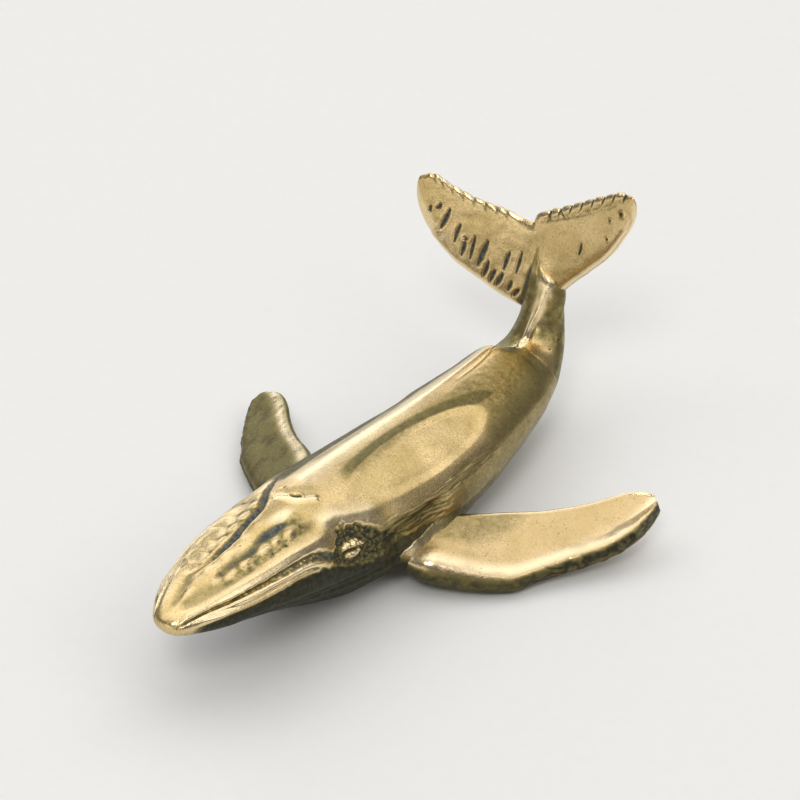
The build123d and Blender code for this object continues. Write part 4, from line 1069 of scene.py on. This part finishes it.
def stock_bead():
    """low braze ring over the joint behind the fin hump"""
    deg = np.linspace(-90, 270, 241)[:-1]
    th = np.radians(deg)
    rows = []
    wav = None
    for k in np.linspace(-1, 1, 11):
        base = skin(np.full(len(deg), JOINT_AT) + 0.0, th)
        if wav is None:
            wav = noise(base, 0.9, 180)
        s = JOINT_AT + k * (0.42 + 0.12 * wav)
        s_rows = skin(s, th)
        e0, e1 = skin(s, th + 0.02), skin(s + 0.02, th)
        nrm = unit(np.cross(e0 - s_rows, e1 - s_rows))
        centre = trunk_frame(s)[0]
        nrm = np.where(np.sum(nrm * (s_rows - centre), -1, keepdims=True) < 0, -nrm, nrm)
        high = (0.026 + 0.05 * np.exp(-((deg - 87) / 22) ** 2)) * (1 - k * k) - 0.025 + 0.012 * noise(s_rows, 2.0, 183)
        rows.append(s_rows + nrm * high[:, None])
    last = trunk_frame(np.full(len(deg), JOINT_AT))[0]
    for k in (0.6, -0.6):
        s = JOINT_AT + k * 0.5
        sk = skin(np.full(len(deg), s), th)
        rows.append(sk + (trunk_frame(np.full(len(deg), s))[0] - sk) * 0.12)
    return np.stack(rows, 0)


# ------------------------------------------------------------------ metal
class Graph:
    """a few short ways to join shader nodes"""

    def __init__(self, name):
        self.mat = bpy.data.materials.new(name)
        self.mat.use_nodes = True
        self.nt = self.mat.node_tree
        self.nt.nodes.clear()

    def node(self, kind, **values):
        n = self.nt.nodes.new(kind)
        for k, v in values.items():
            setattr(n, k, v)
        return n

    def link(self, a, b):
        self.nt.links.new(a, b)

    def put(self, socket, value):
        if hasattr(value, "is_linked") or isinstance(value, bpy.types.NodeSocket):
            self.link(value, socket)
        else:
            socket.default_value = value

    def math(self, op, a, b=0.0, c=0.0, clamp=False):
        n = self.node("ShaderNodeMath", operation=op, use_clamp=clamp)
        for i, v in enumerate((a, b, c)):
            self.put(n.inputs[i], v)
        return n.outputs[0]

    def ramp(self, x, lo, hi, out0=0.0, out1=1.0):
        n = self.node("ShaderNodeMapRange", interpolation_type="SMOOTHSTEP", clamp=True)
        for i, v in enumerate((x, lo, hi, out0, out1)):
            self.put(n.inputs[i], v)
        return n.outputs[0]

    def mix(self, f, a, b):
        n = self.node("ShaderNodeMix", data_type="RGBA", clamp_factor=True)
        self.put(n.inputs[0], f)
        self.put(n.inputs[6], a)
        self.put(n.inputs[7], b)
        return n.outputs[2]

    def noise(self, vec, scale, detail=3.0, rough=0.55, distortion=0.0):
        n = self.node("ShaderNodeTexNoise")
        self.link(vec, n.inputs["Vector"])
        n.inputs["Scale"].default_value = scale
        n.inputs["Detail"].default_value = detail
        n.inputs["Roughness"].default_value = rough
        n.inputs["Distortion"].default_value = distortion
        return n.outputs[0]

    def attribute(self, name):
        n = self.node("ShaderNodeAttribute", attribute_name=name, attribute_type="GEOMETRY")
        return n.outputs["Fac"]


def antique_brass(name, light=(0.78, 0.585, 0.30, 1), olive=(0.57, 0.43, 0.185, 1), dull=0.0, seed=0.0,
                  streak_turn=0.0):
    """hand-polished brass, darkened where the mesh's first mask marks tarnish and painted shade, brightened where its
    second marks wear and painted highlights
    """
    g = Graph(name)
    tc = g.node("ShaderNodeTexCoord")
    mm = g.node("ShaderNodeMapping")
    mm.inputs["Scale"].default_value = (1000, 1000, 1000)
    mm.inputs["Location"].default_value = (seed, seed * 0.37, seed * 0.71)
    g.link(tc.outputs["Object"], mm.inputs["Vector"])
    vec = mm.outputs["Vector"]
    st = g.node("ShaderNodeMapping")
    st.inputs["Scale"].default_value = (5200, 700, 5200)
    st.inputs["Rotation"].default_value = (0.1, 0.2, math.radians(streak_turn))
    g.link(tc.outputs["Object"], st.inputs["Vector"])
    broad = g.noise(vec, 0.26, 4.0, 0.55, 0.3)
    cloud = g.noise(vec, 1.1, 5.0, 0.6)
    mottle = g.noise(vec, 4.2, 4.0, 0.62)
    fine = g.noise(vec, 13.0, 3.0, 0.6)
    speck = g.noise(vec, 9.0, 2.0, 0.5)
    scratch = g.noise(st.outputs["Vector"], 1.0, 2.0, 0.5)
    pits = g.node("ShaderNodeTexVoronoi", feature="F1")
    g.link(vec, pits.inputs["Vector"])
    pits.inputs["Scale"].default_value = 2.3
    pits.inputs["Randomness"].default_value = 1.0
    pit_cells = g.ramp(g.noise(vec, 0.8, 2.0), 0.50, 0.66)
    pit = g.math("MULTIPLY", g.ramp(pits.outputs["Distance"], 0.05, 0.13, 1.0, 0.0), pit_cells)
    patina_and_shade = g.attribute("patina_and_shade")
    polish_and_highlight = g.attribute("polish_and_highlight")
    oxide = g.attribute("oxide")
    # how dark the surface is: the mesh's mask, broken up by noise
    p = g.math("ADD", patina_and_shade, g.math("MULTIPLY", g.math("SUBTRACT", mottle, 0.5), 0.26))
    p = g.math("ADD", p, g.math("MULTIPLY", g.math("SUBTRACT", fine, 0.5), 0.42))
    p = g.math("ADD", p, g.math("MULTIPLY", g.math("SUBTRACT", cloud, 0.5), 0.16))
    p = g.math("SUBTRACT", p, g.math("MULTIPLY", polish_and_highlight, 0.35))
    p = g.math("ADD", p, dull)
    tone = g.ramp(p, 0.10, 0.62)
    deep = g.ramp(p, 0.46, 0.92)
    spots = g.math("MULTIPLY", g.ramp(speck, 0.615, 0.69), g.ramp(cloud, 0.35, 0.62, 0.25, 0.8))
    spots = g.math("MULTIPLY", spots, g.math("SUBTRACT", 1.0, g.math("MULTIPLY", polish_and_highlight, 0.7)))
    # colours: dark olive and recess tones for tarnish and painted shade, a pale cream for wear and painted highlights
    metal = g.mix(g.ramp(broad, 0.36, 0.64), light, olive)
    metal = g.mix(g.math("MULTIPLY", g.ramp(mottle, 0.42, 0.66), 0.40), metal, (0.60, 0.44, 0.19, 1))
    metal = g.mix(g.math("MULTIPLY", g.ramp(fine, 0.44, 0.64), 0.42), metal, (0.46, 0.335, 0.14, 1))
    metal = g.mix(g.math("MULTIPLY", polish_and_highlight, 0.60), metal, (1.0, 0.84, 0.57, 1))
    warm = g.math("MULTIPLY", g.ramp(g.noise(vec, 0.9, 3.0, 0.6, 1.2), 0.60, 0.72), g.ramp(patina_and_shade, 0.3, 0.6))
    metal = g.mix(tone, metal, (0.24, 0.20, 0.075, 1))
    metal = g.mix(g.math("MULTIPLY", warm, 0.40), metal, (0.42, 0.27, 0.11, 1))
    recess = g.mix(g.ramp(g.noise(vec, 2.4, 3.0), 0.40, 0.62), (0.029, 0.028, 0.015, 1), (0.052, 0.050, 0.029, 1))
    film = g.mix(g.ramp(g.noise(vec, 3.2, 3.0), 0.42, 0.64), (0.062, 0.070, 0.071, 1), (0.145, 0.168, 0.175, 1))
    recess = g.mix(oxide, recess, film)
    colour = g.mix(deep, metal, recess)
    colour = g.mix(g.math("MULTIPLY", spots, 0.62), colour, (0.09, 0.07, 0.04, 1))
    colour = g.mix(g.math("MULTIPLY", pit, 0.75), colour, (0.06, 0.05, 0.03, 1))
    # roughness
    r = g.math("ADD", 0.275, g.math("MULTIPLY", g.math("SUBTRACT", mottle, 0.5), 0.22))
    r = g.math("ADD", r, g.math("MULTIPLY", g.math("SUBTRACT", broad, 0.5), 0.16))
    r = g.math("ADD", r, g.math("MULTIPLY", tone, 0.13))
    r = g.math("ADD", r, g.math("MULTIPLY", deep, 0.16))
    r = g.math("ADD", r, g.math("MULTIPLY", spots, 0.16))
    r = g.math("SUBTRACT", r, g.math("MULTIPLY", polish_and_highlight, 0.09))
    r = g.math("ADD", r, g.math("MULTIPLY", g.math("SUBTRACT", scratch, 0.5), 0.10), clamp=True)
    # relief finer than the mesh
    h = g.math("MULTIPLY", mottle, 0.55)
    h = g.math("ADD", h, g.math("MULTIPLY", fine, 0.34))
    h = g.math("ADD", h, g.math("MULTIPLY", scratch, 0.14))
    h = g.math("SUBTRACT", h, g.math("MULTIPLY", spots, 0.35))
    h = g.math("SUBTRACT", h, g.math("MULTIPLY", pit, 1.2))
    h = g.math("ADD", h, g.math("MULTIPLY", g.math("MULTIPLY", g.noise(vec, 7.0, 3.0, 0.7), deep), 1.6))
    bump = g.node("ShaderNodeBump")
    bump.inputs["Strength"].default_value = 0.55
    bump.inputs["Distance"].default_value = 0.000048
    g.link(h, bump.inputs["Height"])
    s = g.node("ShaderNodeBsdfPrincipled")
    g.link(colour, s.inputs["Base Color"])
    g.link(g.ramp(deep, 0.0, 1.0, 1.0, 0.72), s.inputs["Metallic"])
    g.link(r, s.inputs["Roughness"])
    g.link(bump.outputs["Normal"], s.inputs["Normal"])
    out = g.node("ShaderNodeOutputMaterial")
    g.link(s.outputs[0], out.inputs["Surface"])
    return g.mat


BODY_BRASS = antique_brass("brass_body", seed=0.0, streak_turn=12)
FIN_BRASS = antique_brass("brass_left_fin", light=(0.62, 0.46, 0.25, 1), olive=(0.53, 0.39, 0.19, 1), seed=41.0, streak_turn=-55)
# darker copy of the brass for the far fin: painted shade
SHADED_FAR_FIN_BRASS = antique_brass("brass_right_fin_shaded", light=(0.38, 0.315, 0.145, 1), olive=(0.22, 0.20, 0.085, 1), seed=83.0, streak_turn=50)
TAIL_BRASS = antique_brass("brass_tail_stem", light=(0.84, 0.63, 0.32, 1), olive=(0.60, 0.46, 0.19, 1), seed=127.0)
FLUKE_BRASS = antique_brass("brass_flukes", light=(0.81, 0.61, 0.31, 1), olive=(0.64, 0.475, 0.21, 1), seed=171.0, streak_turn=80)
BRAZE = antique_brass("braze_fillet", light=(0.78, 0.60, 0.35, 1), olive=(0.48, 0.44, 0.32, 1), dull=0.0, seed=215.0)
TAIL_BRAZE = antique_brass("braze_tail_fillet", light=(0.78, 0.585, 0.30, 1), olive=(0.57, 0.43, 0.185, 1), seed=259.0)


def dress(obj, mat):
    obj.data.materials.clear()
    obj.data.materials.append(mat)
    return obj


# ------------------------------------------------------------------ pieces
body, K_BODY = build_trunk()
dress(body, BODY_BRASS)
stem = dress(build_stock(), TAIL_BRASS)
flukes = dress(build_fluke(), FLUKE_BRASS)
left_fin = dress(build_fin("pectoral_fin_left", LEFT_FIN, True), FIN_BRASS)
right_fin = dress(build_fin("pectoral_fin_right", RIGHT_FIN, False), SHADED_FAR_FIN_BRASS)
left_ring, ahead, behind = root_bead(LEFT_FIN, K_BODY, flare=0.34)
right_ring, _, _ = root_bead(RIGHT_FIN, K_BODY)
place = np.arange(200) / 200.0
# left fin's bead: painted shade underneath and at its front lip, darker towards the back, painted highlight across the
# front
rim = smooth(0.15, 0.06, place)
bead_shade_and_patina = np.where(place <= 0.5, np.maximum(0.40 * (1 - ahead) + 0.30 * behind, 0.92 * rim), 0.92)
left_bead = dress(ring_piece("braze_left_fin", left_ring, bead_shade_and_patina[None, :], (0.9 * ahead * (1 - rim))[None, :], behind[None, :]), BRAZE)
# the far fin's bead darkened to match: painted shade
right_bead = dress(ring_piece("braze_right_fin", right_ring, 0.62), BRAZE)
round_deg = np.linspace(-90, 270, 241)[:-1]
# tail joint bead: darker over the top, and painted shade on the far side
joint_bead = dress(ring_piece("braze_tail_joint", stock_bead(), 0.34 + 0.45 * np.exp(-((round_deg - 90) / 20) ** 2)[None, :]
                               + 0.3 * smooth(100, 130, round_deg)[None, :]),
                   TAIL_BRAZE)

for piece, node, slot in ((body, "body_casting", "polished_brass"), (stem, "tail_stock", "polished_brass"),
                          (flukes, "tail_fluke", "polished_brass"), (left_fin, "left_pectoral_fin", "polished_brass"),
                          (right_fin, "right_pectoral_fin", "polished_brass"), (left_bead, "left_fin_braze", "braze_metal"),
                          (right_bead, "right_fin_braze", "braze_metal"), (joint_bead, "tail_stock_braze", "braze_metal")):
    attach(piece, "root")
    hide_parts(node)


# ------------------------------------------------------------------ floor, light, camera
def pale_floor():
    mesh = bpy.data.meshes.new("floor")
    n, half = 24, 1.2
    xs = np.linspace(-half, half, n)
    mesh.from_pydata([(float(x), float(y), 0.0) for y in xs for x in xs], [],
                     [(j * n + i, j * n + i + 1, (j + 1) * n + i + 1, (j + 1) * n + i) for j in range(n - 1) for i in range(n - 1)])
    obj = bpy.data.objects.new("floor", mesh)
    bpy.context.scene.collection.objects.link(obj)
    g = Graph("floor_paper")
    tc = g.node("ShaderNodeTexCoord")
    tint = g.mix(g.noise(tc.outputs["Object"], 900.0, 3.0), (0.83, 0.825, 0.81, 1), (0.86, 0.855, 0.84, 1))
    s = g.node("ShaderNodeBsdfPrincipled")
    g.link(tint, s.inputs["Base Color"])
    s.inputs["Roughness"].default_value = 0.95
    s.inputs["Specular IOR Level"].default_value = 0.15
    out = g.node("ShaderNodeOutputMaterial")
    g.link(s.outputs[0], out.inputs["Surface"])
    mesh.materials.append(g.mat)


def softbox(name, direction, distance, size_x, size_y, watts, colour=(1, 1, 1)):
    data = bpy.data.lights.new(name, "AREA")
    data.shape = "RECTANGLE"
    data.size, data.size_y = size_x, size_y
    data.energy = watts
    data.color = colour
    obj = bpy.data.objects.new(name, data)
    bpy.context.scene.collection.objects.link(obj)
    d = Vector(direction).normalized()
    obj.location = Vector((0, 0, 0.006)) + d * distance
    obj.rotation_euler = d.to_track_quat("Z", "Y").to_euler()
    return obj


pale_floor()
softbox("tent_top", (-0.04, 0.20, 0.97), 0.60, 0.60, 0.56, 1.24, (1.0, 0.99, 0.97))
softbox("key_front", (0.26, -0.52, 0.80), 0.60, 0.17, 0.17, 0.75, (1.0, 0.99, 0.97))
softbox("back_softbox", (-0.07, 0.69, 0.71), 0.60, 0.64, 0.18, 0.37, (1.0, 0.985, 0.96))
softbox("left_softbox", (-0.66, -0.07, 0.75), 0.60, 0.54, 0.32, 0.70, (0.99, 0.99, 1.0))
softbox("right_strip", (0.74, 0.05, 0.68), 0.60, 0.40, 0.33, 0.58, (1.0, 0.985, 0.96))
softbox("low_left_strip", (-0.73, 0.65, 0.26), 0.60, 0.46, 0.29, 0.64, (0.98, 0.985, 1.0))
softbox("front_low", (0.02, -0.99, 0.14), 0.60, 0.55, 0.18, 0.36, (1.0, 0.985, 0.96))

world = bpy.data.worlds.new("studio")
bpy.context.scene.world = world
world.use_nodes = True
wt = world.node_tree
wt.nodes.clear()
tc = wt.nodes.new("ShaderNodeTexCoord")
sep = wt.nodes.new("ShaderNodeSeparateXYZ")
wt.links.new(tc.outputs["Generated"], sep.inputs[0])
ramp = wt.nodes.new("ShaderNodeValToRGB")
ramp.color_ramp.interpolation = "EASE"
ramp.color_ramp.elements[0].position = 0.0
ramp.color_ramp.elements[0].color = (0.20, 0.20, 0.20, 1)
ramp.color_ramp.elements[1].position = 1.0
ramp.color_ramp.elements[1].color = (0.36, 0.36, 0.36, 1)
mid = ramp.color_ramp.elements.new(0.45)
mid.color = (0.17, 0.17, 0.17, 1)
wt.links.new(sep.outputs[2], ramp.inputs[0])
bg = wt.nodes.new("ShaderNodeBackground")
bg.inputs["Strength"].default_value = 1.0
wt.links.new(ramp.outputs[0], bg.inputs["Color"])
wo = wt.nodes.new("ShaderNodeOutputWorld")
wt.links.new(bg.outputs[0], wo.inputs["Surface"])

cam_data = bpy.data.cameras.new("camera")
cam_data.sensor_width = 36.0
cam_data.lens = 157.95
cam_data.clip_start = 0.01
cam_data.clip_end = 10.0
cam_data.dof.use_dof = False
cam = bpy.data.objects.new("camera", cam_data)
bpy.context.scene.collection.objects.link(cam)
place = Vector((0.1386966, -0.1807629, 0.1865447))
aim = Vector((-0.0054927, 0.0105827, 0.006))
cam.location = place
cam.rotation_euler = (place - aim).to_track_quat("Z", "Y").to_euler()
bpy.context.scene.camera = cam

bpy.context.scene.view_settings.view_transform = "Standard"
bpy.context.scene.view_settings.look = "None"
